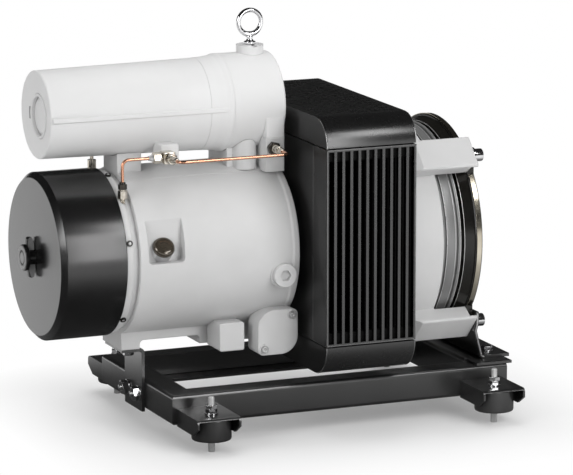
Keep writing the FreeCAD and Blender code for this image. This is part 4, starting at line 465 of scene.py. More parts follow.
SHAFT_HEIGHT = 330
SHAFT = (0, 0, SHAFT_HEIGHT)
SEPARATOR_HEIGHT = 589
SEPARATOR = (0, 0, SEPARATOR_HEIGHT)
SEPARATOR_LEFT = -520.6
HEAD_LEFT = -173
RIM_LEFT = -403
COVER_FACE = -527
CASING_RIGHT = -71
COOLER_LEFT = -58
COOLER_RIGHT = 117.5
COOLER_HALF = 245
SEAM_TOP = 532
SEAM_BOTTOM = 172
FLANGE_FACE = 270
FLANGE_THICK = 14
BELL_RIGHT = 194
FLANGE_LEFT = 232
FOOT_TOP = 69
LEDGE_TOP = 98
SUPPORT_STEEL = 6
PIPE_RADIUS = 3.05
ROUND_PIPE = 3.1

# Filter cover: deep drawn shell with a chamfer and a rolled edge

COVER_RADIUS = 153
COVER_STEEL = 3
COVER_CHAMFER = 9.8
COVER_BORE = 5.5
Shape().turned([
    (COVER_FACE, COVER_BORE),
    (COVER_FACE, COVER_RADIUS - COVER_CHAMFER, 1.0),
    (COVER_FACE + COVER_CHAMFER, COVER_RADIUS, 2.0),
    (RIM_LEFT - 1.5, COVER_RADIUS, 1.2),
    (RIM_LEFT - 0.3, COVER_RADIUS - 2.6),
    (COVER_FACE + COVER_STEEL, COVER_RADIUS - COVER_STEEL, 7),
    (COVER_FACE + COVER_STEEL, COVER_BORE)], SHAFT, around=160, steps=7
).finish("filter_cover_shell", "cover_black", "cover", ("filter_cover",))

# Wing knob that holds the cover. Thin lighter grey layers on its front face and on the sides of its wings are
# painted reflection: they stand in for the pale floor mirrored in the black knob

KNOB_LEAN = math.radians(8)
WING_MIDDLE = Vector((-535, 20))


def wing(shape, outline, levels, side, steps):
    """A wing above or below the knob's middle: its outline at some distances across, leaning a little."""
    rows = []
    for across, inset in levels:
        row = []
        for spot in rounded(outline, steps):
            along, reach = spot + (WING_MIDDLE - spot).normalized() * inset
            height = reach * side
            row.append(shape.vertex((
                along,
                across * math.cos(KNOB_LEAN) + height * math.sin(KNOB_LEAN),
                SHAFT_HEIGHT + height * math.cos(KNOB_LEAN) - across * math.sin(KNOB_LEAN))))
        rows.append(row)
    shape.loft(rows, closed_ends=True)


knob = Shape().turned([
    (-549.4, 0), (-549.4, 12, 2), (-548, 14.5, 3), (-549.5, 17, 3), (-549.5, 24, 1.6), (-542, 24, 2.4),
    (-539, 12.5, 5), (-538, 11), (-527.6, 12.5), (-527.4, 13.5), (-527.4, 5.4), (-549.1, 5.4),
    (-549.1, 0)], SHAFT, around=72)
# Painted reflection: thin lighter grey layers on the knob's front face and wing sides
painted_sheen = Shape()
painted_sheen.turned([(-550.3, 0), (-550.3, 10, 0.4), (-549.3, 11, 0.4), (-549.3, 0)], SHAFT, around=56)
painted_sheen.turned([(-550.6, 14.5), (-550.6, 21, 0.6), (-549, 22, 0.4), (-549, 13.5)], SHAFT, around=56)
WING = [(-542, 6), (-527.9, 6), (-527.9, 18, 3), (-531, 37, 5), (-540, 37, 5), (-542, 18, 6)]
WING_LEVELS = ((-6.5, 2.4), (-6.0, 0.9), (-4.8, 0.0), (4.8, 0.0), (6.0, 0.9), (6.5, 2.4))
PAINTED_SHEEN_OUTLINE = [(-539.8, 13, 1), (-528.6, 13, 1), (-528.6, 24, 6), (-531.6, 36, 3), (-537.5, 36, 4), (-539.8, 24, 6)]
for side in (1, -1):
    wing(knob, WING, WING_LEVELS, side, 6)
    for face in (1, -1):
        wing(painted_sheen, PAINTED_SHEEN_OUTLINE, ((6.3 * face, 0), (7.1 * face, 0)), side, 4)
knob.finish("cover_wing_knob", "knob_black", "knob", ("cover_knob",))
painted_sheen.finish("cover_knob_painted_sheen", "painted_sheen_grey", "knob")

# Rubber feet, their studs and nuts

FOOT_X = 280
FOOT_Y = 240
feet = Shape()
studs = Shape()
nuts = Shape()
for x in (-FOOT_X, FOOT_X):
    for y in (-FOOT_Y, FOOT_Y):
        at = (x, y, 0)
        feet.turned([(26, 7), (24, 7), (24, 35.2, 1.0), (27, 36.2, 2), (62, 36.2, 2), (65, 35.2, 1.0),
                     (65, 5.5), (26, 5.5)], at, "+z")
        studs.turned([(0, 0), (0, 6, 0.8), (24, 6), (24, 5.4), (101.5, 5.4, 2.5), (101.5, 0)],
                     at, "+z", around=40)
        nuts.turned([(FOOT_TOP + 0.02, 5.7), (FOOT_TOP + 0.02, 12), (70.4, 12, 0.4), (71.6, 12, 0.4),
                     (71.6, 5.7)], at, "+z", around=48)
        nuts.hexagon(19, 71.6, 79, at, "+z", 5.45, turn=0.3)
        nuts.hexagon(19, 79, 86, at, "+z", 5.45, turn=0.75)
feet.finish("rubber_feet", "buffer_rubber", replaces=("rubber_buffers",))
nuts.finish("foot_nuts", "chrome_bright", angle=25)
studs.finish("foot_studs", "inlay_light", replaces=("foot_fasteners",), angle=40)

# Flange screws: cap screws with washers, two of them through the right support

LUG_RADIUS = 219.5
LUG_LINE = LUG_RADIUS * math.sqrt(0.5)
screws = Shape()
for side_y in (-1, 1):
    for side_z in (-1, 1):
        seat = FLANGE_FACE + (SUPPORT_STEEL if side_z < 0 else 0)
        at = (seat, side_y * LUG_LINE, SHAFT_HEIGHT + side_z * LUG_LINE)
        screws.washer(8.5, 15, 3.9, at, "+x", (0.5, 0.7), 56)
        screws.socket_screw(12, 16, 14, at, "+x", start=4.0)
        screws.thread(8, -50, -2, at, "+x", pitch=2.0, depth=1.0)
screws.finish("flange_cap_screws", "chrome_bright", replaces=("flange_screws",), angle=30)

# Support bolts with their washers and threaded ends: at the left support's top and web, and on the right
# support's ledge

BOLT = 6
BOLT_BORE = 6.05
WASHER_BORE = 6.3
LEFT_BOLT_Y = 28
LEFT_SEAT_X = -358
LEFT_SEAT_Z = 147
WEB_LEFT = -338
WEB_RIGHT = -327
WEB_BOLT_Z = 65.5
LEDGE_BOLT_X = 326
LEDGE_BOLT_Y = 112
bolts = Shape()
tails = Shape()
for side in (-1, 1):
    seat = (LEFT_SEAT_X, side * LEFT_BOLT_Y, LEFT_SEAT_Z)
    bolts.washer(WASHER_BORE, 11.5, 1.8, seat, "-z")
    bolts.hexagon(18, 1.8, 8, seat, "-z")
    tails.thread(BOLT, 0.5, 17.5, seat, "+z")
    web = (WEB_LEFT, side * LEFT_BOLT_Y, WEB_BOLT_Z)
    bolts.washer(WASHER_BORE, 14, 2.2, web, "-x", (0.4, 0.7))
    bolts.hexagon(23, 2.2, 14, web, "-x", BOLT_BORE, turn=0.4)
    bolts.hexagon(18, 0, 7.5, (WEB_RIGHT, side * LEFT_BOLT_Y, WEB_BOLT_Z), "+x")
    tails.thread(BOLT, -10, 18, web, "-x")
    ledge = (LEDGE_BOLT_X, side * LEDGE_BOLT_Y, LEDGE_TOP + SUPPORT_STEEL)
    bolts.washer(WASHER_BORE, 12, 2, ledge, "+z")
    bolts.hexagon(18, 2, 9.5, ledge, "+z", turn=0.2)
    bolts.hexagon(18, 11.2, 19, ledge, "-z", BOLT_BORE, turn=0.5)
    tails.thread(BOLT, 0, 23.5, ledge, "-z")
bolts.finish("support_bolt_heads", "chrome_bright", replaces=("support_bolts",), angle=25)
tails.finish("support_bolt_threads", "zinc_steel", angle=50)

# Painted highlight: bright strips down both sides of the right support, for the light that the plate's cut
# edges catch

support_edge_highlights = Shape()
for side in (-1, 1):
    support_edge_highlights.tube([(x, side * y, z) for x, y, z in (
        (273, 181.2, 193), (273, 181.2, 174.8), (273, 173.5, 158), (285.5, 160.8, 130.5),
        (297.6, 148.2, 104.4), (303, 148.2, 101.2))], 1.5, around=12)
support_edge_highlights.finish("right_support_edge_highlights", "edge_bright", angle=60)

# Rim screws of the intake cover, their black heads painted shade of counterbores round bright centres, and
# the side cover's screws

RIM_SCREWS = 6
FIRST_RIM_SCREW = 15.8
RIM_SCREW_X = -397.5
RIM_SEAT_RADIUS = 147.1
rim_screws = Shape()
rim_centres = Shape()
for number in range(RIM_SCREWS):
    angle = math.radians(FIRST_RIM_SCREW + 360 / RIM_SCREWS * number)
    out = Vector((0, -math.cos(angle), math.sin(angle)))
    turn = Vector((0, 0, 1)).rotation_difference(out).to_matrix().to_4x4()
    seat = Vector((RIM_SCREW_X, 0, SHAFT_HEIGHT)) + out * RIM_SEAT_RADIUS
    to_rim = Matrix.Translation(seat * MM) @ turn
    rim_screws.join(Shape().socket_screw(5.5, 6.4, 4.8, (0, 0, 0), "+z", knurl=0.1).moved(to_rim))
    rim_centres.join(Shape().turned([(2.9, 0), (2.9, 2.7), (6.2, 2.7, 0.5), (7.0, 0)],
                                    around=24, direction="+z").moved(to_rim))
# Painted shade: the black heads stand in for the shade of counterbores round the bright centres
rim_screws.finish("rim_screws_painted_shade", "flange_black", replaces=("cover_screws",), angle=30)
rim_centres.finish("rim_screw_centres", "edge_bright", angle=30)

SIDE_COVER_Y = -138
side_screws = Shape()
side_seats = Shape()
for x, z in ((-135.5, 152.5), (-80.5, 212.5)):
    at = (x, SIDE_COVER_Y, z)
    side_seats.turned([(-0.3, 7.4), (-0.3, 9.2, 0.8), (2.4, 8.9, 0.8), (2.4, 7.4)], at, "-y", around=40)
    side_screws.socket_screw(5.5, 5.5, 5, at, "-y", start=0.2, knurl=0.1)
side_screws.finish("side_cap_screws", "inlay_light", replaces=("side_cover_screws",), angle=30)
side_seats.finish("side_screw_bosses", "casting_grey", angle=30)

# Lifting eyebolt: forged ring that thickens towards its neck, collar and shank

EYE = (-106, 0, 692.5)
EYE_RADIUS = 22.25
RING_RISE = 40.5
RING_STEPS = 96
ring_path = []
for number in range(RING_STEPS):
    angle = TURN * number / RING_STEPS - math.pi / 2
    ring_path.append((EYE[0] + EYE_RADIUS * math.cos(angle), 0,
                      EYE[2] + RING_RISE + EYE_RADIUS * math.sin(angle)))
eye = Shape().tube(ring_path, lambda share: 4.25 + 1.1 * abs(2 * share - 1) ** 6, around=24, closed=True)
eye.turned([(0.3, 0), (0.3, 10, 0.8), (1.6, 11, 0.8), (5.2, 11, 1.2), (6.4, 7.2, 2.5), (9.5, 5.6, 4),
            (14.8, 6.4), (17.2, 5.0), (17.2, 0)], EYE, "+z", around=48)
eye.thread(8, -20, 0.6, EYE, "+z", pitch=2.0, depth=1.0)
eye.finish("forged_eyebolt", "chrome_bright", "eyebolt", ("lifting_eyebolt",), angle=40)

# Separator: a rib on each side along the taper, the flare into the head and the ringed end plug

ribs = Shape()
for side in (-1, 1):
    rows = []
    for x, radius in ((SEPARATOR_LEFT + 4, 79.9), (HEAD_LEFT + 1, 85.1)):
        outline = rounded([(radius - 6, -5.2), (radius + 2.3, -4.4, 1.1), (radius + 2.3, 4.4, 1.1),
                           (radius - 6, 5.2)])
        rows.append([ribs.vertex((x, side * spot.x, SEPARATOR_HEIGHT + spot.y)) for spot in outline])
    ribs.loft(rows, closed_ends=True)
ribs.finish("separator_ribs", "separator_white", angle=50)
Shape().turned([
    (HEAD_LEFT - 42, 83.6), (HEAD_LEFT - 42, 84.5), (HEAD_LEFT - 25, 85.2, 40), (HEAD_LEFT - 9, 87.0, 14),
    (HEAD_LEFT - 2.5, 89.7, 1.2), (HEAD_LEFT + 3, 89.8), (HEAD_LEFT + 3, 83.6)], SEPARATOR, around=120
).finish("separator_flare", "separator_white", angle=50)
PLUG = (0, -16, SEPARATOR_HEIGHT)
Shape().turned([
    (SEPARATOR_LEFT + 3, 0), (SEPARATOR_LEFT + 3, 30.5, 0.8), (SEPARATOR_LEFT + 6, 31.2),
    (SEPARATOR_LEFT + 6, 34.8), (SEPARATOR_LEFT + 20, 34.8), (SEPARATOR_LEFT + 20, 0)], PLUG
).finish("separator_plug_disc", "separator_white", "end_plug", ("separator_plug",), angle=40)
Shape().turned([
    (SEPARATOR_LEFT + 5.8, 35.4), (SEPARATOR_LEFT - 1.2, 35.4, 0.7), (SEPARATOR_LEFT - 2.6, 38, 1.5),
    (SEPARATOR_LEFT - 1.4, 40.6, 1.2), (SEPARATOR_LEFT + 5.8, 41)], PLUG
).finish("separator_plug_ring", "separator_white", angle=40)
Shape().prism(rectangle((24.6, 578), (33, 600), 0.5), SEPARATOR_LEFT - 1, SEPARATOR_LEFT + 1, edge=0.3
              ).finish("separator_lock_plate", "ring_grey", angle=40)

# Fittings of the copper pipes: chamfered nuts on their bodies

PIPE_Y = -101
PIPE_Z = 514
ELBOW_FLATS = 15
ELBOW = (RIM_LEFT + ELBOW_FLATS / math.sqrt(3) + 0.6, PIPE_Y, SHAFT_HEIGHT + 114)
elbow = Shape()
elbow.hexagon(ELBOW_FLATS, 0.2, 15.5, ELBOW, "+z", turn=0.26)
elbow.turned([(15.5, ROUND_PIPE), (15.5, 6.0), (17.4, 6.0), (17.4, ROUND_PIPE)], ELBOW, "+z", around=32)
elbow.thread(4.9, -12, 0.3, ELBOW, "+z", pitch=1.2, depth=0.6)
elbow_nut = Shape()
elbow_nut.hexagon(14, 17.4, 27, ELBOW, "+z", PIPE_RADIUS, turn=0.1)
elbow_nut.turned([(27, ROUND_PIPE), (27, 6.4, 1.5), (31, 5.0, 1.5), (31, ROUND_PIPE)],
                 ELBOW, "+z", around=32)
elbow_nut.finish("elbow_compression_nut", "fitting_black", angle=25)
elbow.finish("elbow_with_nut", "fitting_nickel", replaces=("elbow_fitting",), angle=25)

TEE_X = -308
TEE_HALF = 11
tee = Shape()
tee.prism(rectangle((-TEE_HALF, -TEE_HALF), (TEE_HALF, TEE_HALF), 2), -0.5, 2 * TEE_HALF,
          (TEE_X, -93, PIPE_Z), "-y", edge=1.4)
side_port = (TEE_X, PIPE_Y, PIPE_Z)
tee.turned([(TEE_HALF, ROUND_PIPE), (TEE_HALF, 7.6, 0.4), (13.5, 7.0), (13.5, ROUND_PIPE)],
           side_port, "-x", around=32)
tee.hexagon(18, 13.5, 27.5, side_port, "-x", PIPE_RADIUS, turn=0.2)
Shape().turned([(27.5, ROUND_PIPE), (27.5, 6.6, 0.5), (31, 5.5, 0.7), (35.8, 4.4, 0.7), (35.8, ROUND_PIPE)],
               side_port, "-x", around=32).finish("tee_collar", "edge_bright", angle=25)
front_port = (TEE_X, -115, PIPE_Z)
tee.turned([(0, ROUND_PIPE), (0, 7.8), (2.2, 7.2), (2.2, ROUND_PIPE)], front_port, "-y", around=32)
tee.hexagon(18, 2.2, 14, front_port, "-y", PIPE_RADIUS, turn=0.15)
tee.turned([(14, ROUND_PIPE), (14, 7.4, 0.5), (17.5, 6.5, 0.6), (32, 6.0, 0.8), (35, 4.2, 1),
            (35, ROUND_PIPE)], front_port, "-y", around=32)
tee.finish("tee_with_nuts", "fitting_nickel", replaces=("tee_fitting",), angle=25)

OUTLET = (CASING_RIGHT - 26, -89, PIPE_Z)
Shape().hexagon(22, 0.1, 9.5, OUTLET, "-y", PIPE_RADIUS, turn=0.3
                ).finish("delivery_base_nut", "fitting_black", angle=25)
delivery = Shape()
delivery.turned([(9.5, ROUND_PIPE), (9.5, 7.4), (13, 7.4, 0.5), (16, 6.2, 0.8), (22, 6.2), (22, ROUND_PIPE)],
                OUTLET, "-y", around=32)
delivery.hexagon(14, 22, 33, OUTLET, "-y", PIPE_RADIUS, turn=0.1)
delivery.turned([(33, ROUND_PIPE), (33, 6.0, 0.8), (45.5, 5.0, 1), (45.5, ROUND_PIPE)],
                OUTLET, "-y", around=32)
delivery.finish("delivery_fitting", "fitting_nickel", replaces=("outlet_fitting",), angle=25)

# Stepped ring between the bell and the flange, with small chamfers that catch the light

Shape().turned([
    (BELL_RIGHT, 178), (BELL_RIGHT, 196, 0.6), (BELL_RIGHT + 5, 196, 0.6), (BELL_RIGHT + 5.4, 190, 0.4),
    (BELL_RIGHT + 10, 190, 0.4), (BELL_RIGHT + 10.4, 194, 0.6), (FLANGE_LEFT - 10.4, 194, 0.6),
    (FLANGE_LEFT - 10, 190, 0.4), (FLANGE_LEFT - 5.4, 190, 0.4), (FLANGE_LEFT - 5, 195, 0.6),
    (FLANGE_LEFT, 195, 0.6), (FLANGE_LEFT, 178)], SHAFT, around=200, steps=3
).finish("turned_stepped_ring", "ring_grey", replaces=("stepped_ring",), angle=28)

# Thin bright rings at the groove edges of the stepped ring and the flange: bare machined metal, with painted
# highlight that these edges catch. A gold metal strip on the rim between the lugs is painted reflection of
# light on the black rim

EDGE_HALF = 0.55
EDGE_DEPTH = 0.9
# Partly painted highlight: bright rings along the groove edges, for the light that these edges catch
edges = Shape()
for along, radius in ((BELL_RIGHT + 10.2, 194.3), (FLANGE_LEFT - 10.2, 194.3), (FLANGE_LEFT - 0.4, 195.2),
                      (FLANGE_LEFT + 7, 196.2)):
    edges.turned([(along - EDGE_HALF, radius - EDGE_DEPTH), (along - EDGE_HALF, radius, 0.3),
                  (along + EDGE_HALF, radius, 0.3), (along + EDGE_HALF, radius - EDGE_DEPTH)],
                 SHAFT, around=200, steps=3)
edges.finish("flange_edge_metal_and_highlights", "edge_bright", angle=40)

# Painted reflection: a gold metal strip on the black rim between the lugs, for the light mirrored there
RIM_SPREAD = math.radians(36)
RIM_STEPS = 40
RIM_FROM = FLANGE_FACE - FLANGE_THICK + 2.6
RIM_TO = FLANGE_FACE - 2.4
rim = Shape()
for quarter in range(4):
    rows = []
    for step in range(RIM_STEPS + 1):
        angle = (quarter + 1) * math.pi / 2 + RIM_SPREAD * (2 * step / RIM_STEPS - 1)
        rows.append([rim.point(SHAFT, "+x", along, radius * math.cos(angle), radius * math.sin(angle))
                     for along, radius in ((RIM_FROM, 207.2), (RIM_FROM, 208.35), (RIM_TO, 208.35),
                                           (RIM_TO, 207.2))])
    rim.loft(rows, closed_ends=True)
rim.finish("flange_rim_painted_reflection", "rim_painted_gold", angle=40)

# Sight glass: chrome ring with a dark domed lens, both leaning so that they look upwards

GLASS = (-330, 0, 351.5)
GLASS_PIVOT = Vector((GLASS[0], -131, GLASS[2])) * MM
GLASS_LEAN = math.radians(42)
GLASS_TURN = (Matrix.Translation(GLASS_PIVOT) @ Matrix.Rotation(-GLASS_LEAN, 4, "X")
              @ Matrix.Translation(-GLASS_PIVOT))
bezel = Shape().turned([(121, 0), (121, 20.2), (137, 20.2, 0.8), (137, 19.2), (134, 19.2), (134, 0)],
                       GLASS, "-y", around=72)
bezel.moved(GLASS_TURN).finish("sight_glass_bezel", "chrome_bright", replaces=("sight_glass_ring",))
dome = Shape().turned([(134, 0), (134, 19.1), (137, 20.4, 0.8), (146.5, 20.4, 7.5), (148.2, 9, 40),
                       (148.6, 0)], GLASS, "-y", around=72, steps=10)
dome.moved(GLASS_TURN).finish("sight_glass_dome", "cap_olive", replaces=("sight_glass_lens",))

# Cooler cores: flat tubes with folded fins between them, and their end tanks, coloured near black: painted
# shade that keeps the slots dark

CORE_LEFT = COOLER_LEFT + 2.5
CORE_RIGHT = COOLER_RIGHT - 2.5
CORE_LOW = SEAM_BOTTOM + 0.3
CORE_HIGH = SEAM_TOP - 0.3
TANK = 24
TUBES = 12
FOLDS = 96
tube_pitch = (CORE_RIGHT - CORE_LEFT - 8) / (TUBES - 1)
fold_rise = (CORE_HIGH - CORE_LOW - 2 * TANK) / FOLDS
core = Shape()
for low_y, high_y in ((7 - COOLER_HALF, 40 - COOLER_HALF), (COOLER_HALF - 40, COOLER_HALF - 7)):
    for low_z, high_z in ((CORE_LOW, CORE_LOW + TANK), (CORE_HIGH - TANK, CORE_HIGH)):
        core.prism(rectangle((low_y, low_z), (high_y, high_z), 4), CORE_LEFT, CORE_RIGHT, edge=1)
    for number in range(TUBES):
        x = CORE_LEFT + 4 + tube_pitch * number
        core.prism(rectangle((x - 2, low_y + 2), (x + 2, high_y - 2), 1.8), CORE_LOW + TANK - 1,
                   CORE_HIGH - TANK + 1, direction="+z", steps=3)
        if number < TUBES - 1:
            folds = [(x + (2 if fold % 2 else tube_pitch - 2), CORE_LOW + TANK + fold_rise * fold)
                     for fold in range(FOLDS + 1)]
            core.loft([[core.vertex((fold_x, y, z)) for fold_x, z in folds] for y in (low_y + 3, high_y - 3)],
                      closed_rings=False)
core.finish("cooler_cores", "core_aluminium", replaces=("oil_cooler_core", "air_cooler_core"), angle=30)

# Top and bottom covers of the cooler: rounded sheets, the top one with staggered slots in its flat part

COVER_SHEET = 2.5
SOFT_EDGE = 2.2
SEAM_GAP = 2.6
ARC_STEPS = 12
END_STEPS = 4
SLOT_PITCH_X, SLOT_X = 26.0, 19.0
SLOT_PITCH_Y, SLOT_Y = 13.0, 5.5
SLOT_START = 1.5
SLOT_MARGIN = 8
SLOT_EDGE = 6
WELD = 0.01 * MM
FACES_THE_END = 0.95


def cooler_cover(name, seam, edge, radius, slots, replaces):
    """A sheet folded over the cooler with two end walls; the flat part may have rows of slots."""
    up = 1 if edge > seam else -1
    rim_z = seam + up * SEAM_GAP
    flat = COOLER_HALF - radius
    left, right = COOLER_LEFT, COOLER_RIGHT
    cover = Shape()

    def fold(inset):
        """The outline's near half, from the rim round the bend to the flat, and its far half."""
        near = [(inset - COOLER_HALF, rim_z)]
        for step in range(ARC_STEPS + 1):
            angle = math.pi / 2 * step / ARC_STEPS
            near.append((-flat - (radius - inset) * math.cos(angle),
                         edge - up * (radius - (radius - inset) * math.sin(angle))))
        return near, [(-y, z) for y, z in reversed(near)]

    outer, inner = fold(0), fold(COVER_SHEET)
    for halves, inset in ((outer, SOFT_EDGE), (inner, COVER_SHEET)):
        for points in halves:
            cover.loft([[cover.vertex((x, y, z)) for y, z in points] for x in (left + inset, right - inset)],
                       closed_rings=False)
    middle = Vector((0, (seam + edge) / 2))
    for x, toward in ((left, 1), (right, -1)):
        rows = []
        for step in range(END_STEPS + 1):
            angle = math.pi / 2 * step / END_STEPS
            row = []
            for y, z in outer[0] + outer[1]:
                inset = (middle - Vector((y, z))).normalized() * SOFT_EDGE * (1 - math.cos(angle))
                row.append(cover.vertex((x + toward * SOFT_EDGE * (1 - math.sin(angle)), y + inset.x,
                                         z if z == rim_z else z + inset.y)))
            rows.append(row)
        cover.loft(rows, closed_rings=False)
        cover.face(rows[-1])
        cover.face([cover.vertex((x + toward * COVER_SHEET, y, z)) for y, z in inner[0] + inner[1]])
    # Painted highlight: thin steel beads along the rounded end edges stand in for the light that these edges
    # catch
    edge_highlights = Shape()
    for x in (left + 0.7, right - 0.7):
        for side in (1, -1):
            edge_highlights.tube([(x, side * (y + 0.5), z - up * 0.4) for y, z in outer[0][:ARC_STEPS]], 0.9, around=10)
    edge_highlights.finish(name + "_edge_highlights", "edge_highlight_steel", angle=60)

    columns = int((right - left - 2 * SLOT_MARGIN) / SLOT_PITCH_X)
    first = (left + right - columns * SLOT_PITCH_X) / 2 + SLOT_START
    cuts, across = [-flat, flat], [left + SOFT_EDGE, right - SOFT_EDGE]
    if slots:
        rows = int((2 * flat - 2 * SLOT_MARGIN) / SLOT_PITCH_Y)
        middles = [(row + 0.5 - rows / 2) * SLOT_PITCH_Y for row in range(rows)]
        cuts[1:1] = [y + half for y in middles for half in (-SLOT_Y / 2, SLOT_Y / 2)]
        starts = [first + number * SLOT_PITCH_X / 2 for number in range(2 * columns)]
        across[1:1] = sorted({round(x, 3) for start in starts for x in (start, start + SLOT_X)
                              if x < right - SLOT_MARGIN})

    def holed(row, column):
        """Whether a slot takes this cell; every second row stands half a pitch to the right."""
        if not slots or row % 2 == 0 or not 0 < column < len(across) - 2:
            return False
        middle_x = (across[column] + across[column + 1]) / 2
        place = (middle_x - first - SLOT_PITCH_X / 2 * (row // 2 % 2)) % SLOT_PITCH_X
        begin = middle_x - place
        return place < SLOT_X and left + SLOT_EDGE < begin < right - SLOT_EDGE - SLOT_X

    top, below = [[[cover.vertex((x, y, z)) for x in across] for y in cuts]
                  for z in (edge, edge - up * COVER_SHEET)]
    for row in range(len(cuts) - 1):
        for column in range(len(across) - 1):
            corners = ((row, column), (row, column + 1), (row + 1, column + 1), (row + 1, column))
            if not holed(row, column):
                for grid in (top, below):
                    cover.face([grid[y][x] for y, x in corners])
                continue
            walls = [(0, 1), (2, 3)]
            if not holed(row, column - 1):
                walls.append((3, 0))
            if not holed(row, column + 1):
                walls.append((1, 2))
            for start, end in walls:
                (y, x), (other_y, other_x) = corners[start], corners[end]
                cover.face([top[y][x], top[other_y][other_x], below[other_y][other_x], below[y][x]])
    bmesh.ops.remove_doubles(cover.mesh, verts=cover.mesh.verts, dist=WELD)
    piece = cover.finish(name, "cooler_black", replaces=replaces, angle=40)
    piece.data.materials.append(FINISHES["cooler_side"].material)
    for polygon in piece.data.polygons:
        polygon.material_index = 1 if abs(polygon.normal.x) > FACES_THE_END else 0


HOOD_TOP, HOOD_BEND = 585.6, 50
TRAY_BOTTOM, TRAY_BEND = 114, 54
cooler_cover("cooler_hood", SEAM_TOP, HOOD_TOP, HOOD_BEND, True, ("cooler_top_cover",))
cooler_cover("cooler_tray", SEAM_BOTTOM, TRAY_BOTTOM, TRAY_BEND, False, ("cooler_bottom_cover",))

# Thin grey strips round the front grille, painted highlight along its rounded edges, and the folded strip
# along the front edge of the side plate

LINE = 1.8
grille_highlights = Shape()
for low, high in (((COOLER_LEFT, SEAM_BOTTOM), (COOLER_LEFT + LINE, SEAM_TOP)),
                  ((COOLER_RIGHT - LINE, SEAM_BOTTOM), (COOLER_RIGHT, SEAM_TOP)),
                  ((COOLER_LEFT, SEAM_TOP - LINE), (COOLER_RIGHT, SEAM_TOP)),
                  ((COOLER_LEFT, SEAM_BOTTOM), (COOLER_RIGHT, SEAM_BOTTOM + LINE))):
    grille_highlights.prism(rectangle(low, high, 0.3), COOLER_HALF - 0.5, COOLER_HALF + 0.5, direction="-y", edge=0.3)
grille_highlights.finish("cooler_grille_edge_highlights", "grille_highlight_grey", angle=40)
STRIP_TO = -186
strip = Shape().prism([(0.5 - COOLER_HALF, SEAM_BOTTOM + 1), (STRIP_TO, SEAM_BOTTOM + 1, 0.6),
                       (STRIP_TO, SEAM_TOP - 1, 0.6), (0.5 - COOLER_HALF, SEAM_TOP - 1)],
                      COOLER_LEFT - 1.1, COOLER_LEFT + 0.5, edge=0.5)
strip.finish("cooler_side_strip", "cooler_side", angle=40)

# Valve springs: coils of round wire between their valves and their fixed ends

VALVE_SPRINGS = (
    # piece, node, joint, lift, axis, moving end, fixed end, middle, radius, turns
    ("intake_valve_coil", "intake_valve_spring", "intake_valve_lift", 12, (1, 0, 0), -389.7, -372.0,
     SHAFT, 16, 3),
    ("pressure_valve_coil", "pressure_valve_spring", "outlet_valve_lift", 8, (0, 1, 0), 88.1, 109.0,
     (-123, 0, SEPARATOR_HEIGHT), 14, 4))
COIL_STEPS = 24
WIRE_RADIUS = 1
SPRING_GAP = 0.4
for name, node, joint, lift, axis, moving_end, fixed_end, middle, radius, turns in VALVE_SPRINGS:
    start = moving_end + SPRING_GAP + WIRE_RADIUS
    length = fixed_end - WIRE_RADIUS - start
    path = []
    for number in range(turns * COIL_STEPS + 1):
        angle = TURN * number / COIL_STEPS
        spot = Vector(middle) + Vector(axis) * (start + length * number / (turns * COIL_STEPS))
        spot.z += radius * math.sin(angle)
        if axis[0]:
            spot.y += radius * math.cos(angle)
        else:
            spot.x += radius * math.cos(angle)
        path.append(spot)
    coil = Shape().tube(path, WIRE_RADIUS, around=12)
    coil = coil.finish(name, "machined_steel", "machine", (node,), angle=60)
    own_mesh(coil)

# Floor and world: both are white to the camera, and the floor darkens close to the machine

FLOOR_HALF = 12
FLOOR_SHADE = (0.30, 0.26, 0.0)
FLOOR_FAR = 0.27
FLOOR_GLOW = 0.22
FLOOR_MIRROR_PAINTED_SHADE = 0.05
FRONT_DIRECTION = (0.4, -1.0, 0.0)
FRONT_FROM, FRONT_TO = 0.12, 1.25
BEHIND_FROM, BEHIND_TO = -0.2, 0.5
AWAY_FROM, AWAY_TO = 0.1, 0.55
HORIZON = 0.04
SKY_MIRROR_DARK = 0.02
FILL = 0.34
WHITE = (1, 1, 1, 1)
FLOOR_PAINT = (0.8, 0.8, 0.8, 1)


def ray(graph, kind):
    return graph.add("LightPath", output=f"Is {kind} Ray")


def seen_rays(graph):
    """1 for the rays of the camera, of reflections and of glass."""
    camera_or_mirror = graph.math("MAXIMUM", ray(graph, "Camera"), ray(graph, "Glossy"))
    return graph.math("MAXIMUM", camera_or_mirror, ray(graph, "Transmission"))


def floor_shader(graph):
    """Glows where it is seen, brightest away from the machine, and is plain paint to other light. To mirrors
    it is glow only, dimmed in front of and close to the machine: painted shade in reflections.
    """
    place = graph.add("TexCoord", output="Object")
    beyond = graph.vector("SUBTRACT", graph.vector("ABSOLUTE", place), FLOOR_SHADE)
    distance = graph.vector("LENGTH", graph.vector("MAXIMUM", beyond), output="Value")
    # Painted shade for mirrors: the glow dims in front of and close to the machine
    ahead = graph.vector("DOT_PRODUCT", place, FRONT_DIRECTION, "Value")
    front = graph.spread(ahead, FRONT_FROM, FRONT_TO, FLOOR_MIRROR_PAINTED_SHADE, smooth=True)
    across = graph.add("SeparateXYZ", {"Vector": place}, "Y")
    behind = graph.spread(across, BEHIND_FROM, BEHIND_TO, smooth=True)
    away = graph.spread(distance, AWAY_FROM, AWAY_TO, smooth=True)
    mirrored = graph.math("MAXIMUM", front, graph.math("MULTIPLY", behind, away))
    strength = graph.math("MAXIMUM", mirrored, ray(graph, "Camera"))
    fade = graph.spread(distance, 0.0, FLOOR_FAR, FLOOR_GLOW)
    level = graph.add("Mix", {0: ray(graph, "Camera"), 2: 1.0, 3: fade})
    share = graph.math("MULTIPLY", seen_rays(graph), level)
    paint = graph.add("BsdfDiffuse", {"Color": FLOOR_PAINT})
    glow = graph.add("Emission", {"Color": WHITE, "Strength": strength})
    return graph.add("MixShader", {0: share, 1: paint, 2: glow})


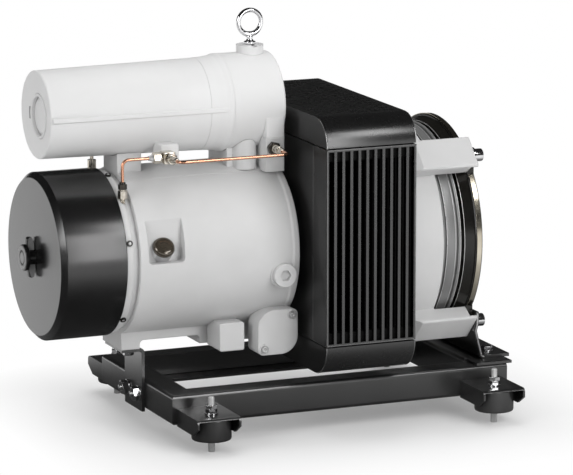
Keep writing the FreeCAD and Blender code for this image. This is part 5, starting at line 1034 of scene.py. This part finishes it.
def sky_shader(graph):
    """White to the camera, dark above the horizon to mirrors, and an even fill to other light."""
    height = graph.add("SeparateXYZ", {"Vector": graph.add("TexCoord", output="Generated")}, "Z")
    dusk = graph.spread(height, 0.0, HORIZON, 1.0, SKY_MIRROR_DARK)
    fill = graph.add("Background", {"Color": WHITE, "Strength": FILL})
    seen = graph.add("Background", {"Color": graph.math("MAXIMUM", dusk, ray(graph, "Camera"))})
    return graph.add("MixShader", {0: seen_rays(graph), 1: fill, 2: seen})


def placed(name, data):
    """A new object for the data, linked to the scene."""
    thing = bpy.data.objects.new(name, data)
    bpy.context.scene.collection.objects.link(thing)
    return thing


def look(thing, at, direction):
    thing.location = at
    thing.rotation_mode = "QUATERNION"
    thing.rotation_quaternion = direction.to_track_quat("-Z", "Y")


bench = bmesh.new()
bmesh.ops.create_grid(bench, x_segments=2, y_segments=2, size=FLOOR_HALF)
floor_mesh = bpy.data.meshes.new("floor")
bench.to_mesh(floor_mesh)
bench.free()
floor_material = bpy.data.materials.new("floor")
floor_graph = Graph(floor_material)
floor_graph.add("OutputMaterial", {"Surface": floor_shader(floor_graph)})
floor_mesh.materials.append(floor_material)
placed("floor", floor_mesh)

world = bpy.data.worlds.new("studio")
bpy.context.scene.world = world
sky_graph = Graph(world)
sky_graph.add("OutputWorld", {"Surface": sky_shader(sky_graph)})

# Lamps, given as name, place, width, height, watts and whether mirrors show them, and the camera

LAMPS = (
    ("front_low", (0.35, -2.1, 1.0), 0.5, 1.4, 11.5, True),
    ("front_soft", (0.6, -2.2, 1.0), 1.2, 1.2, 9, False),
    ("front_high", (1.08, -2.05, 2.15), 0.8, 0.9, 14, True),
    ("left", (-2.6, -1.1, 1.4), 1.2, 1.2, 24, True),
    ("back", (-0.5, 2.5, 1.5), 1.4, 1.4, 9, False),
    ("top", (-0.1, 0.2, 2.9), 1.8, 1.8, 27, False),
    ("back_right", (2.4, 1.2, 1.4), 1.0, 1.6, 16, False))
LAMP_TARGET = Vector((0, 0, 0.33))
for name, at, width, height, watts, mirrored in LAMPS:
    lamp = bpy.data.lights.new(name, "AREA")
    lamp.shape = "RECTANGLE"
    lamp.size = width
    lamp.size_y = height
    lamp.energy = watts
    light = placed(name, lamp)
    light.visible_glossy = mirrored
    look(light, at, LAMP_TARGET - Vector(at))

LENS = 255.7
SENSOR = 36.0
CAMERA_DISTANCE = 7.5295
CLIP_END = 40
AZIMUTH = math.radians(-22.9)
ELEVATION = math.radians(11.48)
AIM = Vector((-0.033, 0, 0.3263))
camera_data = bpy.data.cameras.new("camera")
camera_data.lens = LENS
camera_data.sensor_width = SENSOR
camera_data.clip_end = CLIP_END
camera = placed("camera", camera_data)
back = Vector((math.sin(AZIMUTH) * math.cos(ELEVATION), -math.cos(AZIMUTH) * math.cos(ELEVATION),
               math.sin(ELEVATION)))
look(camera, AIM + back * CAMERA_DISTANCE, -back)
bpy.context.scene.camera = camera
bpy.context.scene.view_settings.view_transform = "Standard"
